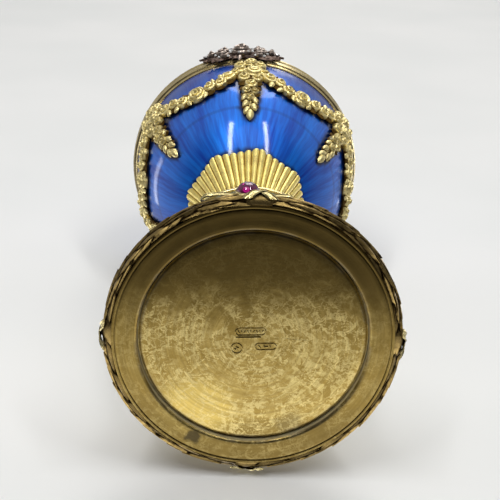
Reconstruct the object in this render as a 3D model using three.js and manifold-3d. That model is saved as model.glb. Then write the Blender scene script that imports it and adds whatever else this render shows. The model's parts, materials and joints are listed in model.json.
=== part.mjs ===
// A jewelled egg on a stand: a gilt foot with a laurel garland, a stone collar set with rubies,
// a fluted cup, and an enamelled egg in two halves hung with rose swags.
// Millimetres, +Z up. The origin is the centre of the underside and the front faces -Y.

import * as THREE from "three";
import { mergeVertices } from "three/addons/utils/BufferGeometryUtils.js";
import Module from "manifold-3d";

// ---------------------------------------------------------------- driving dimensions

const ROUND = 28;                  // flat sides round each turned piece
const GAP = 0.3;                   // clearance between neighbouring pieces

const rim = {                      // the flat ring the object stands on
  inner: 20.5,
  outer: 25.0,
  lip: 0.5,
  groove: 0.25,
};
const recess = { depth: 1.7, plate: 0.8 };
const foot = {
  waist: 23.3,                     // wall behind the garland
  shelf: 24.4,
  shelfLow: 3.4,
  shelfTop: 4.4,
  domeLow: 23.3,
  domeTop: 15.4,
  top: 21.0,
};
const garland = {
  ring: 25.1,                      // radius of the moulding's centre line
  height: 1.6,
  deep: 1.5,                       // half its thickness, outward
  tall: 1.4,                       // half its thickness, upward
  perQuarter: 6,                   // leaf clusters between two ties
  tieSpace: 4.0,                   // degrees kept clear on each side of a tie
  low: 0.86,                       // how full the moulding is at a leaf's root
  full: 1.04,                      // and at its tip
};
const ribbon = { width: 1.3, thick: 0.42, deep: 1.75, tall: 1.62, slant: 4.8 };
const bow = {                      // turns in degrees round from the front
  knot: 0.5,
  middle: 25.5,
  height: 3.6,
  width: 0.8,
  thick: 0.36,
  loops: [
    { tip: -22.5, drift: 0.6, swell: 0.5 },
    { tip: 13, drift: 0, swell: 0.35 },
  ],
};

const collar = { radius: 16.2, waist: 15.9, low: 22.0, high: 34.1, rimRadius: 16.75 };
const collarTurn = -4.0;           // degrees the stones sit round from the front
const ruby = { radius: 2.2, rise: 2.3, height: 31.6, collet: 2.65, seat: 0.7 };
const neck = { capRadius: 15.2, thin: 4.9, knop: 7.0, top: 54.0 };

const cup = {                      // the fluted calyx
  sides: 8,
  flutesPerSide: 6,
  turn: -12.5,                     // degrees its flat sides sit round from the front
  corner: 13.6,                    // from the axis to a corner of the outline
  scallop: 0.5,
  rib: 0.45,
  low: 54.0,
};
const egg = {
  radius: 27.0,
  girdle: 100.9,                   // height of the parting line
  lowerRise: 33.7,                 // girdle to the bottom of the egg
  upperRise: 38.0,                 // girdle to the top of the egg
  taper: 0.05,                     // narrows the upper half towards its tip
  wall: 1.4,
};
const bezel = { outer: 28.0, inner: 25.5, low: 97.3, high: 103.6, parting: 0.3, flange: 2.2 };

const swag = { count: 6, low: 86.2, rise: 4.3, halfSpan: 23, beads: 8, width: 2.7, stand: 1.9 };
const pendant = { low: 76.2, beads: 6, width: 3.2, stand: 2.1 };
const spray = { turn: -4, inner: 28.3, rose: 3.5, roseRise: 2.2 };

const degrees = Math.PI / 180;

// ---------------------------------------------------------------- colours

function finish(color, roughness, metalness) {
  return new THREE.MeshStandardMaterial({ color, roughness, metalness });
}

const looks = {
  gilt: () => finish(0xb79a55, 0.35, 1.0),
  paleGold: () => finish(0xe6cf8f, 0.35, 1.0),
  yellowGold: () => finish(0xe0b84a, 0.3, 1.0),
  darkSilver: () => finish(0x8c8078, 0.45, 1.0),
  enamel: () => finish(0x1f4fb8, 0.08, 0.1),
  stone: () => finish(0x8c9b88, 0.25, 0.0),
  ruby: () => finish(0x8a1464, 0.05, 0.0),
};

// ---------------------------------------------------------------- making closed solids

const wasm = await Module();
wasm.setup();

/** Six times the volume a triangle list encloses. It is negative when the faces point in. */
function signedVolume(position, index) {
  const a = new THREE.Vector3();
  const b = new THREE.Vector3();
  const c = new THREE.Vector3();
  let volume = 0;
  for (let i = 0; i < index.length; i += 3) {
    a.fromBufferAttribute(position, index[i]);
    b.fromBufferAttribute(position, index[i + 1]);
    c.fromBufferAttribute(position, index[i + 2]);
    volume += a.dot(b.cross(c));
  }
  return volume;
}

/** Welds a geometry into one closed skin with its faces pointing out. */
function welded(geometry) {
  const bare = new THREE.BufferGeometry();
  bare.setAttribute("position", geometry.getAttribute("position").clone());
  if (geometry.index) {
    bare.setIndex(geometry.index.clone());
  }
  const merged = mergeVertices(bare, 1e-4);
  const kept = [];
  const all = merged.index.array;
  for (let i = 0; i < all.length; i += 3) {
    const [a, b, c] = [all[i], all[i + 1], all[i + 2]];
    if (a !== b && b !== c && c !== a) {
      kept.push(a, b, c);
    }
  }
  if (signedVolume(merged.getAttribute("position"), kept) < 0) {
    kept.reverse();
  }
  merged.setIndex(kept);
  return merged;
}

function toManifold(geometry) {
  const skin = welded(geometry);
  return new wasm.Manifold(new wasm.Mesh({
    numProp: 3,
    vertProperties: new Float32Array(skin.getAttribute("position").array),
    triVerts: new Uint32Array(skin.index.array),
  }));
}

function toGeometry(solid) {
  const mesh = solid.getMesh();
  const geometry = new THREE.BufferGeometry();
  geometry.setAttribute("position", new THREE.BufferAttribute(new Float32Array(mesh.vertProperties), 3));
  geometry.setIndex(new THREE.BufferAttribute(new Uint32Array(mesh.triVerts), 1));
  return geometry;
}

/** Joins overlapping closed geometries into one solid. */
function joined(geometries) {
  return toGeometry(geometries.map(toManifold).reduce((whole, piece) => whole.add(piece)));
}

/** Turns a profile of [radius, height] pairs about the vertical axis. */
function turned(profile, sides = ROUND) {
  const points = profile.map(([radius, height]) => new THREE.Vector2(radius, height));
  return welded(new THREE.LatheGeometry(points, sides).rotateX(Math.PI / 2));
}

/** A closed loop of [radius, height] pairs, for a ring. */
function ringOf(profile, sides = ROUND) {
  return turned([...profile, profile[0]], sides);
}

/** Moves every corner of a flat-drawn geometry through place(x, y, h). */
function laid(geometry, place) {
  const copy = welded(geometry);
  const position = copy.getAttribute("position");
  for (let i = 0; i < position.count; i += 1) {
    const point = place(position.getX(i), position.getY(i), position.getZ(i));
    position.setXYZ(i, point.x, point.y, point.z);
  }
  return copy;
}

function polar(radius, azimuth, height) {
  // azimuth 0 is the front, -Y, and turns towards +X
  return new THREE.Vector3(radius * Math.sin(azimuth), -radius * Math.cos(azimuth), height);
}

// ---------------------------------------------------------------- small drawn shapes

/** A pointed leaf along +X with a raised midrib, its root at x = 0. */
function leaf(length, width, rise, tipRise = 0) {
  const half = width / 2;
  const corners = [
    [0, 0, 0],
    [length * 0.3, half, 0],
    [length * 0.75, half * 0.75, tipRise * 0.5],
    [length, 0, tipRise],
    [length * 0.75, -half * 0.75, tipRise * 0.5],
    [length * 0.3, -half, 0],
    [length * 0.35, 0, rise],
    [length * 0.75, 0, rise * 0.75 + tipRise * 0.5],
    [length * 0.5, 0, -0.45],
  ];
  const faces = [
    [0, 6, 1], [1, 6, 7], [1, 7, 2], [2, 7, 3],
    [0, 5, 6], [5, 7, 6], [5, 4, 7], [4, 3, 7],
    [0, 1, 8], [1, 2, 8], [2, 3, 8], [3, 4, 8], [4, 5, 8], [5, 0, 8],
  ];
  const geometry = new THREE.BufferGeometry();
  geometry.setAttribute("position", new THREE.Float32BufferAttribute(corners.flat(), 3));
  geometry.setIndex(faces.flat());
  return geometry;
}

/** A domed rosette, its base on h = 0. */
function rosette(radius, rise, sides = 7) {
  const profile = [[0, -0.2], [radius, -0.2], [radius * 0.82, rise * 0.62], [0, rise]];
  return turned(profile, sides);
}

/** A flat strip swept along stations of { point, side, out }, closed at both ends or in a loop. */
function strip(stations, width, thick, loop = false) {
  const corners = [];
  const index = [];
  const count = stations.length;
  for (const { point, side, out } of stations) {
    for (const [s, o] of [[-0.5, 0], [0.5, 0], [0.5, 1], [-0.5, 1]]) {
      corners.push(point.clone().addScaledVector(side, s * width).addScaledVector(out, o * thick));
    }
  }
  const steps = loop ? count : count - 1;
  for (let i = 0; i < steps; i += 1) {
    const here = 4 * i;
    const next = 4 * ((i + 1) % count);
    for (let k = 0; k < 4; k += 1) {
      const m = (k + 1) % 4;
      index.push(here + k, here + m, next + m, here + k, next + m, next + k);
    }
  }
  if (!loop) {
    const last = 4 * (count - 1);
    index.push(0, 2, 1, 0, 3, 2);
    index.push(last, last + 1, last + 2, last, last + 2, last + 3);
  }
  const geometry = new THREE.BufferGeometry();
  const flat = corners.flatMap((corner) => corner.toArray());
  geometry.setAttribute("position", new THREE.Float32BufferAttribute(flat, 3));
  geometry.setIndex(index);
  return welded(geometry);
}

// ---------------------------------------------------------------- the foot and its plate

function makeFoot() {
  const dome = [];
  const steps = 4;
  for (let i = 0; i <= steps; i += 1) {
    const turn = (i / steps) * Math.PI / 2;
    dome.push([
      foot.domeTop + (foot.domeLow - foot.domeTop) * (1 - Math.sin(turn)),
      foot.shelfTop + 0.3 + (foot.top - 1.3 - foot.shelfTop) * (1 - Math.cos(turn)),
    ]);
  }
  const grooveOuter = rim.outer - rim.lip;
  return turned([
    [0, recess.depth],
    [rim.inner, recess.depth],
    [rim.inner, 0.35],
    [rim.inner + 0.35, 0],
    [grooveOuter - 0.4, 0],
    [grooveOuter - 0.1, rim.groove],
    [grooveOuter, 0],
    [rim.outer - 0.1, 0],
    [rim.outer, 0.1],
    [rim.outer - 0.1, 0.25],
    [foot.waist, 0.45],
    [foot.waist, foot.shelfLow],
    [foot.shelf, foot.shelfLow],
    [foot.shelf, foot.shelfTop],
    ...dome,
    [foot.domeTop + 0.6, foot.top - 0.9],
    [foot.domeTop + 0.6, foot.top],
    [0, foot.top],
  ]);
}

function makeBasePlate() {
  const edge = rim.inner - GAP;
  const face = recess.depth - recess.plate;
  return turned([
    [0, face],
    [edge - 0.4, face],
    [edge, face + 0.3],
    [edge, recess.depth],
    [0, recess.depth],
  ]);
}

// ---------------------------------------------------------------- garland, ties and bow

/** A skin through rings of points, each ring closed on itself, joined in one big loop. */
function loopSkin(rings) {
  const perRing = rings[0].length;
  const corners = rings.flat().flatMap((corner) => corner.toArray());
  const index = [];
  for (let i = 0; i < rings.length; i += 1) {
    const here = i * perRing;
    const next = ((i + 1) % rings.length) * perRing;
    for (let k = 0; k < perRing; k += 1) {
      const m = (k + 1) % perRing;
      index.push(here + k, here + m, next + m, here + k, next + m, next + k);
    }
  }
  const geometry = new THREE.BufferGeometry();
  geometry.setAttribute("position", new THREE.Float32BufferAttribute(corners, 3));
  geometry.setIndex(index);
  return welded(geometry);
}

/** A point on an oval section round the garland's centre line. */
function onGarland(azimuth, round, deep, tall) {
  return polar(garland.ring + deep * Math.cos(round), azimuth, garland.height + tall * Math.sin(round));
}

/**
 * The garland's section swells from each leaf's root to its tip and drops back at the next root.
 * The lower leaves are half a leaf further round than the upper ones.
 */
function makeGarland() {
  const { low, full } = garland;
  const half = (low + full) / 2;
  const steps = [
    // [share of a cluster, fullness of the upper leaf, fullness of the lower leaf]
    [0.03, low, half],
    [0.47, half, full],
    [0.53, half, low],
    [0.97, full, half],
  ];
  const section = [-150, -72, -28, 28, 72, 150];
  const ringAt = (azimuth, upper, lower) => section.map((round) => {
    const fullness = round > 0 ? upper : lower;
    return onGarland(azimuth * degrees, round * degrees, garland.deep * fullness, garland.tall * fullness);
  });
  const rings = [];
  const leafSpan = (90 - 2 * garland.tieSpace) / garland.perQuarter;
  for (let quarter = 0; quarter < 4; quarter += 1) {
    for (let cluster = 0; cluster < garland.perQuarter; cluster += 1) {
      const start = quarter * 90 + garland.tieSpace + cluster * leafSpan;
      for (const [share, upper, lower] of steps) {
        rings.push(ringAt(start + share * leafSpan, upper, lower));
      }
    }
    rings.push(ringAt(quarter * 90 + 90 - garland.tieSpace + 0.6, low, low));
  }
  return loopSkin(rings);
}

/** Two strands of ribbon crossing over the garland. */
function tieStrands(azimuth) {
  const [from, to] = [-45 * degrees, 95 * degrees];
  const steps = 5;
  return [1, -1].map((lean) => {
    const lift = lean > 0 ? 0.15 : 0;
    const stations = [];
    for (let i = 0; i <= steps; i += 1) {
      const share = i / steps;
      const round = from + (to - from) * share;
      const along = (azimuth + lean * (2 * share - 1) * ribbon.slant) * degrees;
      stations.push({
        point: onGarland(along, round, ribbon.deep + lift, ribbon.tall + lift),
        side: polar(1, along + Math.PI / 2, 0),
        out: polar(Math.cos(round), along, Math.sin(round)),
      });
    }
    return strip(stations, ribbon.width, ribbon.thick);
  });
}

/** One loop of the bow: out along its outer side, round the tip and back along the inner side. */
function bowLoop({ tip, drift, swell }) {
  const upright = new THREE.Vector3(0, 0, 1);
  const count = 12;
  const points = [];
  for (let i = 0; i < count; i += 1) {
    const round = (i / count) * 2 * Math.PI;
    const spread = (1 - Math.cos(round)) / 2;
    const along = (bow.knot + (tip - bow.knot) * (0.05 + 0.95 * spread)) * degrees;
    // the two sides lie together near the knot and part towards the tip
    const parted = 0.22 + swell * 2.2 * spread * spread * Math.sqrt(1 - spread);
    const ends = Math.min(1, 15 * spread) * Math.min(1, 3 * Math.sqrt(1 - spread));
    const radius = bow.middle + drift * spread * spread + Math.sign(Math.sin(round)) * ends * parted;
    points.push(polar(radius, along, bow.height));
  }
  const stations = points.map((point, i) => {
    const before = points[(i + count - 1) % count];
    const after = points[(i + 1) % count];
    const out = after.clone().sub(before).cross(upright).normalize();
    return { point, side: upright, out: tip < 0 ? out.negate() : out };
  });
  return strip(stations, bow.width, bow.thick, true);
}

/** Two loops of ribbon and a knot, lying on the garland's upper edge. */
function bowPieces() {
  const knot = new THREE.BoxGeometry(1.7, 1.1, 0.95);
  const place = polar(bow.middle, bow.knot * degrees, bow.height + 0.05);
  knot.rotateZ(bow.knot * degrees).translate(place.x, place.y, place.z);
  return [...bow.loops.map(bowLoop), knot];
}

function makeTie(quarter) {
  const strands = tieStrands(quarter * 90);
  return joined(quarter === 0 ? [...strands, ...bowPieces()] : strands);
}

// ---------------------------------------------------------------- collar, rubies and neck

function makeCollarRim(low, high) {
  const edge = collar.rimRadius;
  return turned([
    [0, low],
    [edge - 0.2, low],
    [edge, (low + high) / 2],
    [edge - 0.2, high],
    [0, high],
  ]);
}

function makeStoneCollar() {
  const middle = (collar.low + collar.high) / 2;
  return turned([
    [0, collar.low],
    [collar.radius, collar.low],
    [collar.waist, middle],
    [collar.radius, collar.high],
    [0, collar.high],
  ]);
}

/** Stands a turned piece on the collar's wall so that its own axis points outward. */
function onCollar(geometry, quarter) {
  const azimuth = (collarTurn + quarter * 90) * degrees;
  const place = polar(collar.radius + 0.15, azimuth, ruby.height);
  geometry.rotateX(Math.PI / 2).rotateZ(azimuth);
  return geometry.translate(place.x, place.y, place.z);
}

function makeRuby(quarter) {
  const dome = [[0, 0.1], [ruby.radius, 0.1], [ruby.radius, 0.5]];
  const steps = 2;
  for (let i = 1; i <= steps; i += 1) {
    const turn = (i / steps) * Math.PI / 2;
    dome.push([ruby.radius * Math.cos(turn), 0.5 + (ruby.rise - 0.5) * Math.sin(turn)]);
  }
  dome[dome.length - 1][0] = 0;
  return onCollar(turned(dome, 10), quarter);
}

function makeCollet(quarter) {
  const bore = ruby.radius + 0.08;
  const ring = ringOf([
    [bore, 0],
    [ruby.collet, 0],
    [ruby.collet - 0.1, ruby.seat],
    [bore, ruby.seat],
  ], 10);
  return onCollar(ring, quarter);
}

function makeNeck() {
  const low = collar.high + 0.8;
  return turned([
    [0, low],
    [neck.capRadius, low],
    [neck.capRadius, low + 0.8],
    [12.6, low + 1.7],
    [9.0, low + 3.4],
    [6.6, low + 6.2],
    [neck.thin + 0.3, low + 9.4],
    [neck.knop, low + 11.0],
    [neck.knop, low + 12.8],
    [neck.thin, low + 14.4],
    [5.9, neck.top],
    [0, neck.top],
  ], 16);
}

// ---------------------------------------------------------------- the calyx

/** Height of the egg's outer skin below the girdle at a given radius. */
function eggUnderside(radius) {
  return egg.girdle - egg.lowerRise * Math.sqrt(Math.max(0, 1 - (radius / egg.radius) ** 2));
}

/** Radius of the cup's eight-sided outline at an azimuth. */
function cupOutline(azimuth) {
  const side = 2 * Math.PI / cup.sides;
  const apothem = cup.corner * Math.cos(side / 2);
  const fromSide = azimuth - cup.turn * degrees;
  const nearest = Math.round(fromSide / side) * side;
  return apothem / Math.cos(fromSide - nearest);
}

function makeCalyx() {
  const flutes = cup.sides * cup.flutesPerSide;
  const columns = flutes * 2;
  // [share of the outline's radius, how octagonal, height, how deep the flutes are]
  const wall = [
    [0.47, 0, cup.low, 0],
    [0.60, 0.3, cup.low + 6.0, 0.9],
    [0.83, 0.8, cup.low + 12.2, 1],
  ];
  const rings = wall.map(([share, octagonal, height, depth]) => (azimuth, ridge) => {
    const outline = cupOutline(azimuth) * octagonal + cup.corner * 0.96 * (1 - octagonal);
    const radius = outline * share + (ridge ? cup.rib : -cup.rib) * depth;
    return [radius, height];
  });
  const edge = (inset, drop) => (azimuth, ridge) => {
    const radius = cupOutline(azimuth) - (ridge ? 0 : cup.scallop) - inset;
    return [radius, eggUnderside(radius) - drop];
  };
  rings.push(edge(0, 1.0), edge(0.5, 0.45));
  rings.push(() => [6.5, eggUnderside(6.5) - 0.5]);

  const corners = [];
  for (const ring of rings) {
    for (let j = 0; j < columns; j += 1) {
      // the first ridge stands half a flute in from a corner of the outline
      const azimuth = cup.turn * degrees + (j + 1) * 2 * Math.PI / columns;
      const [radius, height] = ring(azimuth, j % 2 === 0);
      corners.push(...polar(radius, azimuth, height).toArray());
    }
  }
  const bottom = corners.length / 3;
  corners.push(0, 0, cup.low, 0, 0, eggUnderside(0) - 0.5);
  const index = [];
  for (let j = 0; j < columns; j += 1) {
    const k = (j + 1) % columns;
    for (let i = 0; i < rings.length - 1; i += 1) {
      const low = i * columns;
      const high = low + columns;
      index.push(low + j, low + k, high + k, low + j, high + k, high + j);
    }
    const last = (rings.length - 1) * columns;
    index.push(bottom, k, j, last + j, last + k, bottom + 1);
  }
  const geometry = new THREE.BufferGeometry();
  geometry.setAttribute("position", new THREE.Float32BufferAttribute(corners, 3));
  geometry.setIndex(index);
  return welded(geometry);
}

// ---------------------------------------------------------------- the egg

/** One point of the egg's side, inset from the outer skin. lift runs from 0 at the girdle to 1. */
function eggSide(lift, rise, inset, taper) {
  const turn = lift * Math.PI / 2;
  const height = rise * Math.sin(turn);
  const narrow = 1 - taper * Math.sin(turn);
  const inner = 1 - inset / egg.radius;
  return [egg.radius * Math.cos(turn) * narrow * inner, height * (1 - inset / rise)];
}

function makeBowl() {
  const topHeight = egg.girdle - bezel.low + 0.1;
  const start = Math.asin(topHeight / egg.lowerRise) / (Math.PI / 2);
  const profile = (steps, inset) => {
    const points = [];
    for (let i = 0; i <= steps; i += 1) {
      const [radius, height] = eggSide(start + (1 - start) * (i / steps), egg.lowerRise, inset, 0);
      points.push([radius, egg.girdle - height]);
    }
    points[0][1] = egg.girdle - topHeight;
    points[steps][0] = 0;
    return points;
  };
  return turned([...profile(6, 0).reverse(), ...profile(4, egg.wall)]);
}

function makeLid() {
  const lowHeight = bezel.high - egg.girdle + 0.1;
  const start = Math.asin(lowHeight / egg.upperRise) / (Math.PI / 2);
  const profile = (steps, inset) => {
    const points = [];
    for (let i = 0; i <= steps; i += 1) {
      const lift = start + (1 - start) * (i / steps);
      const [radius, height] = eggSide(lift, egg.upperRise, inset, egg.taper);
      points.push([radius, egg.girdle + height]);
    }
    points[0][1] = egg.girdle + lowHeight;
    points[steps][0] = 0;
    return points;
  };
  return turned([...profile(4, egg.wall).reverse(), ...profile(6, 0)]);
}

function makeBowlBezel() {
  const top = egg.girdle - bezel.parting / 2;
  return ringOf([
    [bezel.inner, bezel.low],
    [egg.radius, bezel.low],
    [bezel.outer - 0.2, bezel.low + 0.8],
    [bezel.outer, bezel.low + 1.8],
    [bezel.outer - 0.5, top],
    [bezel.inner, top],
  ]);
}

function makeLidBezel() {
  const low = egg.girdle + bezel.parting / 2;
  return ringOf([
    [bezel.inner - 0.9, low - bezel.flange],
    [bezel.inner - GAP, low - bezel.flange],
    [bezel.inner - GAP, low],
    [bezel.outer - 0.5, low],
    [bezel.outer, low + 0.9],
    [bezel.outer - 0.5, low + 1.9],
    [egg.radius - 0.2, bezel.high],
    [bezel.inner - 0.9, bezel.high],
  ]);
}

// ---------------------------------------------------------------- swags and pendants

/** A frame on the egg's lower skin: x runs round, y runs down, h stands off the surface. */
function onBowl(azimuth, height) {
  const turn = Math.asin((egg.girdle - height) / egg.lowerRise);
  return (x, y, h) => {
    const perStep = Math.hypot(egg.radius * Math.sin(turn), egg.lowerRise * Math.cos(turn));
    const down = turn + y / perStep;
    const radius = egg.radius * Math.cos(down);
    const normal = new THREE.Vector2(Math.cos(down) / egg.radius, -Math.sin(down) / egg.lowerRise);
    normal.normalize();
    const stand = h + GAP + 0.2;
    return polar(
      radius + stand * normal.x,
      azimuth + x / Math.max(radius, 1),
      egg.girdle - egg.lowerRise * Math.sin(down) + stand * normal.y,
    );
  };
}

/**
 * A run of roses as one solid. Each station gives its place on the egg, the direction of the run
 * as [x, y], its half width and its height.
 */
function beadedRun(stations) {
  const section = [[-1, -0.2], [-0.62, 0.72], [0, 1], [0.62, 0.72], [1, -0.2]];
  const perRing = section.length;
  const corners = stations.flatMap(({ place, run, half, tall }) => {
    const length = Math.hypot(...run);
    const across = [-run[1] / length, run[0] / length];
    return section.map(([side, up]) => {
      const h = up < 0 ? up : up * tall;
      return place(across[0] * side * half, across[1] * side * half, h);
    });
  });
  const index = [];
  for (let i = 0; i < stations.length - 1; i += 1) {
    const here = i * perRing;
    const next = here + perRing;
    for (let k = 0; k < perRing; k += 1) {
      const m = (k + 1) % perRing;
      index.push(here + k, here + m, next + m, here + k, next + m, next + k);
    }
  }
  const last = (stations.length - 1) * perRing;
  for (let k = 1; k < perRing - 1; k += 1) {
    index.push(0, k + 1, k, last, last + k, last + k + 1);
  }
  const geometry = new THREE.BufferGeometry();
  const flat = corners.flatMap((corner) => corner.toArray());
  geometry.setAttribute("position", new THREE.Float32BufferAttribute(flat, 3));
  geometry.setIndex(index);
  return welded(geometry);
}

/** Full at the middle of each rose, nipped in between two, and small at both ends. */
function beadFullness(step, last) {
  if (step === 0 || step === last) {
    return 0.35;
  }
  return step % 2 === 1 ? 1 : 0.68;
}

function makeSwag(number) {
  const middle = (number + 0.5) * 360 / swag.count;
  const last = swag.beads * 2;
  const stations = [];
  for (let i = 0; i <= last; i += 1) {
    const across = (i / last) * 2 - 1;
    const azimuth = (middle + across * swag.halfSpan) * degrees;
    const height = swag.low + swag.rise * Math.abs(across) ** 2.3;
    const slope = Math.sign(across) * swag.rise * 2.3 * Math.abs(across) ** 1.3;
    const size = (1 - 0.28 * Math.abs(across)) * beadFullness(i, last);
    stations.push({
      place: onBowl(azimuth, height),
      run: [egg.radius * swag.halfSpan * degrees, -slope],
      half: swag.width * size,
      tall: swag.stand * (0.4 + 0.6 * size),
    });
  }
  return beadedRun(stations);
}

function makePendant(number) {
  const azimuth = number * (360 / swag.count) * degrees;
  const high = bezel.low - 0.5;
  const last = pendant.beads * 2;
  const stations = [];
  for (let i = 0; i <= last; i += 1) {
    const down = i / last;
    const size = (1 - 0.62 * down) * beadFullness(i, last);
    stations.push({
      place: onBowl(azimuth, high + (pendant.low - high) * down),
      run: [0, 1],
      half: pendant.width * size,
      tall: pendant.stand * (0.4 + 0.6 * size),
    });
  }
  return beadedRun(stations);
}

// ---------------------------------------------------------------- the silver spray

function makeSpray() {
  const middle = spray.turn * degrees;
  const onBezels = (azimuth) => (x, y, h) => {
    const sag = 0.022 * y * y;
    return polar(spray.inner + 0.25 + h - sag, azimuth + x / spray.inner, egg.girdle + 0.4 - y);
  };
  const pieces = [laid(rosette(spray.rose, spray.roseRise, 7), onBezels(middle))];
  for (const hand of [1, -1]) {
    const leaves = [
      // [start, lean in degrees, length, width]
      [1.5, 0, 9.2, 3.6],
      [1.2, 26, 7.4, 3.4],
      [1.2, -26, 7.4, 3.4],
    ];
    for (const [start, lean, length, width] of leaves) {
      const blade = leaf(length, width, 0.9, 0.1).translate(start, 0, 0);
      blade.rotateZ(lean * degrees);
      if (hand < 0) {
        blade.rotateZ(Math.PI);
      }
      pieces.push(laid(blade, onBezels(middle)));
    }
    pieces.push(laid(rosette(1.6, 1.6, 5), onBezels(middle + hand * 5.2 / spray.inner)));
  }
  return joined(pieces);
}

// ---------------------------------------------------------------- putting it together

const whole = new THREE.Group();

function add(name, geometry, look) {
  const mesh = new THREE.Mesh(geometry, look());
  mesh.name = name;
  whole.add(mesh);
}

add("foot", makeFoot(), looks.gilt);
add("base_plate", makeBasePlate(), looks.gilt);
add("laurel_garland", makeGarland(), looks.gilt);
["front", "right", "back", "left"].forEach((place, quarter) => {
  add(`ribbon_tie_${place}`, makeTie(quarter), looks.paleGold);
  add(`ruby_${place}`, makeRuby(quarter), looks.ruby);
  add(`collet_${place}`, makeCollet(quarter), looks.paleGold);
});

const rimThickness = 0.8;
add("collar_rim_lower", makeCollarRim(foot.top, collar.low), looks.paleGold);
add("stone_collar", makeStoneCollar(), looks.stone);
add("collar_rim_upper", makeCollarRim(collar.high, collar.high + rimThickness), looks.paleGold);
add("neck", makeNeck(), looks.gilt);
add("calyx", makeCalyx(), looks.yellowGold);
add("egg_bowl", makeBowl(), looks.enamel);
add("bowl_bezel", makeBowlBezel(), looks.gilt);
add("lid_bezel", makeLidBezel(), looks.gilt);
add("egg_lid", makeLid(), looks.enamel);
for (let number = 0; number < swag.count; number += 1) {
  add(`swag_${number + 1}`, makeSwag(number), looks.paleGold);
  add(`pendant_${number + 1}`, makePendant(number), looks.paleGold);
}
add("silver_spray", makeSpray(), looks.darkSilver);

export default whole;
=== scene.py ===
# %% [markdown]
# # A jewelled egg on its stand
# An enamelled egg, hung with gold roses, stands in a fluted cup on a gilt foot wreathed in laurel.
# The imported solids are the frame: they fix where everything goes and how big it is. Every piece
# made here stands in the place of one of them, so the solids are loaded first and never moved.

# %% Load the frame
import json
import math
import random

import bpy
from mathutils import Matrix, Vector
from mathutils.bvhtree import BVHTree

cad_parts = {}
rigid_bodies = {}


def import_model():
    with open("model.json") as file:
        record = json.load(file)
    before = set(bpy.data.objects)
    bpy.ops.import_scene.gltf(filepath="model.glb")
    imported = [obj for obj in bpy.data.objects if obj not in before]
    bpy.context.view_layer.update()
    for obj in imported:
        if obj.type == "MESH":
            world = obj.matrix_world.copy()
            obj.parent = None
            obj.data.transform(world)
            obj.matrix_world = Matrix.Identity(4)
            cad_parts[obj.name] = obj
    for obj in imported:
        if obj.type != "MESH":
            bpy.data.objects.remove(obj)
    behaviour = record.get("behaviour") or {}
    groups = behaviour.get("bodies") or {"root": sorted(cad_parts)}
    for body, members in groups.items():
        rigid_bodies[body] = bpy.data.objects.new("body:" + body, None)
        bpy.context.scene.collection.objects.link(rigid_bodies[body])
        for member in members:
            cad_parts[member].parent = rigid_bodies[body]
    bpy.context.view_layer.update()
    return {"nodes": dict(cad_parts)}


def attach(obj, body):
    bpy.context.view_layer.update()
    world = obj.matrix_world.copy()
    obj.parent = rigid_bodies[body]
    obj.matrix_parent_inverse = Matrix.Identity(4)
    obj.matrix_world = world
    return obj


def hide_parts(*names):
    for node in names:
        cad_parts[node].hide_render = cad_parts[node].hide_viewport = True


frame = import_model()
print(len(frame["nodes"]), "solids in the frame")

# %% [markdown]
# ## Measures
# A jeweller works in millimetres and Blender in metres, so one value turns one into the other.
# Places on a round object are easiest as a radius, an angle round from the front and a height.

# %% Measures and places
MM = 0.001
FINE = 144                    # steps round a large turned piece
DEGREES = math.pi / 180


def polar(radius, azimuth, height):
    """A point in metres. The front is -Y, and the angle runs from there towards +X."""
    return Vector((radius * math.sin(azimuth), -radius * math.cos(azimuth), height)) * MM


# %% [markdown]
# ## The camera
# The egg is seen as if it lay on its back, by an eye below the foot and about a span of the hand
# off. So close, the foot is much enlarged and the egg behind it looks small. A camera set as near
# gives that by itself. Its tilt and roll come from its three axes.

# %% Camera
eye = Vector((-8.645, -92.417, -189.86)) * MM
look_up, roll, turn = 21.754 * DEGREES, -3.06 * DEGREES, -5.5 * DEGREES
ahead = Vector((0, math.sin(look_up), math.cos(look_up)))
right, up = Vector((1, 0, 0)), Vector((0, -math.cos(look_up), math.sin(look_up)))
rolled_right = right * math.cos(roll) + up * math.sin(roll)
rolled_up = up * math.cos(roll) - right * math.sin(roll)
axes = Matrix((rolled_right, rolled_up, -ahead)).transposed()
axes = Matrix.Rotation(turn, 3, "Z") @ axes
bpy.ops.object.camera_add(location=eye, rotation=axes.to_euler())
camera = bpy.context.object
camera.data.lens, camera.data.sensor_width = 86.4, 36.0
camera.data.clip_start = 0.005
bpy.context.scene.camera = camera
print("camera:", round(eye.length / MM), "mm from the middle of the foot")

# %% [markdown]
# ## Ways of working
# An operator changes everything that is selected, so each step starts from an empty selection.
# Turned pieces are drawn as half a section, point by point, and spun round the axis, as on a lathe.

# %% Selecting and finishing
def clear():
    if bpy.context.mode != "OBJECT":
        bpy.ops.object.mode_set(mode="OBJECT")
    bpy.ops.object.select_all(action="DESELECT")


def hold(piece):
    """Makes this piece the only one selected, and the active one."""
    clear()
    piece.select_set(True)
    bpy.context.view_layer.objects.active = piece


def added(name):
    """Names the piece that an operator has just added."""
    piece = bpy.context.object
    piece.name = piece.data.name = name
    return piece


def settled(piece):
    """Applies the piece's place, turn and size to its mesh."""
    hold(piece)
    bpy.ops.object.transform_apply(location=True, rotation=True, scale=True)
    return piece


def modified(piece, kind, **settings):
    """Adds a modifier with these settings and applies it."""
    hold(piece)
    bpy.ops.object.modifier_add(type=kind)
    modifier = piece.modifiers[-1]
    for setting, value in settings.items():
        setattr(modifier, setting, value)
    bpy.ops.object.modifier_apply(modifier=modifier.name)
    return piece


def smoothed(piece, angle=35):
    hold(piece)
    bpy.ops.object.shade_smooth_by_angle(angle=angle * DEGREES)
    return piece


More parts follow.
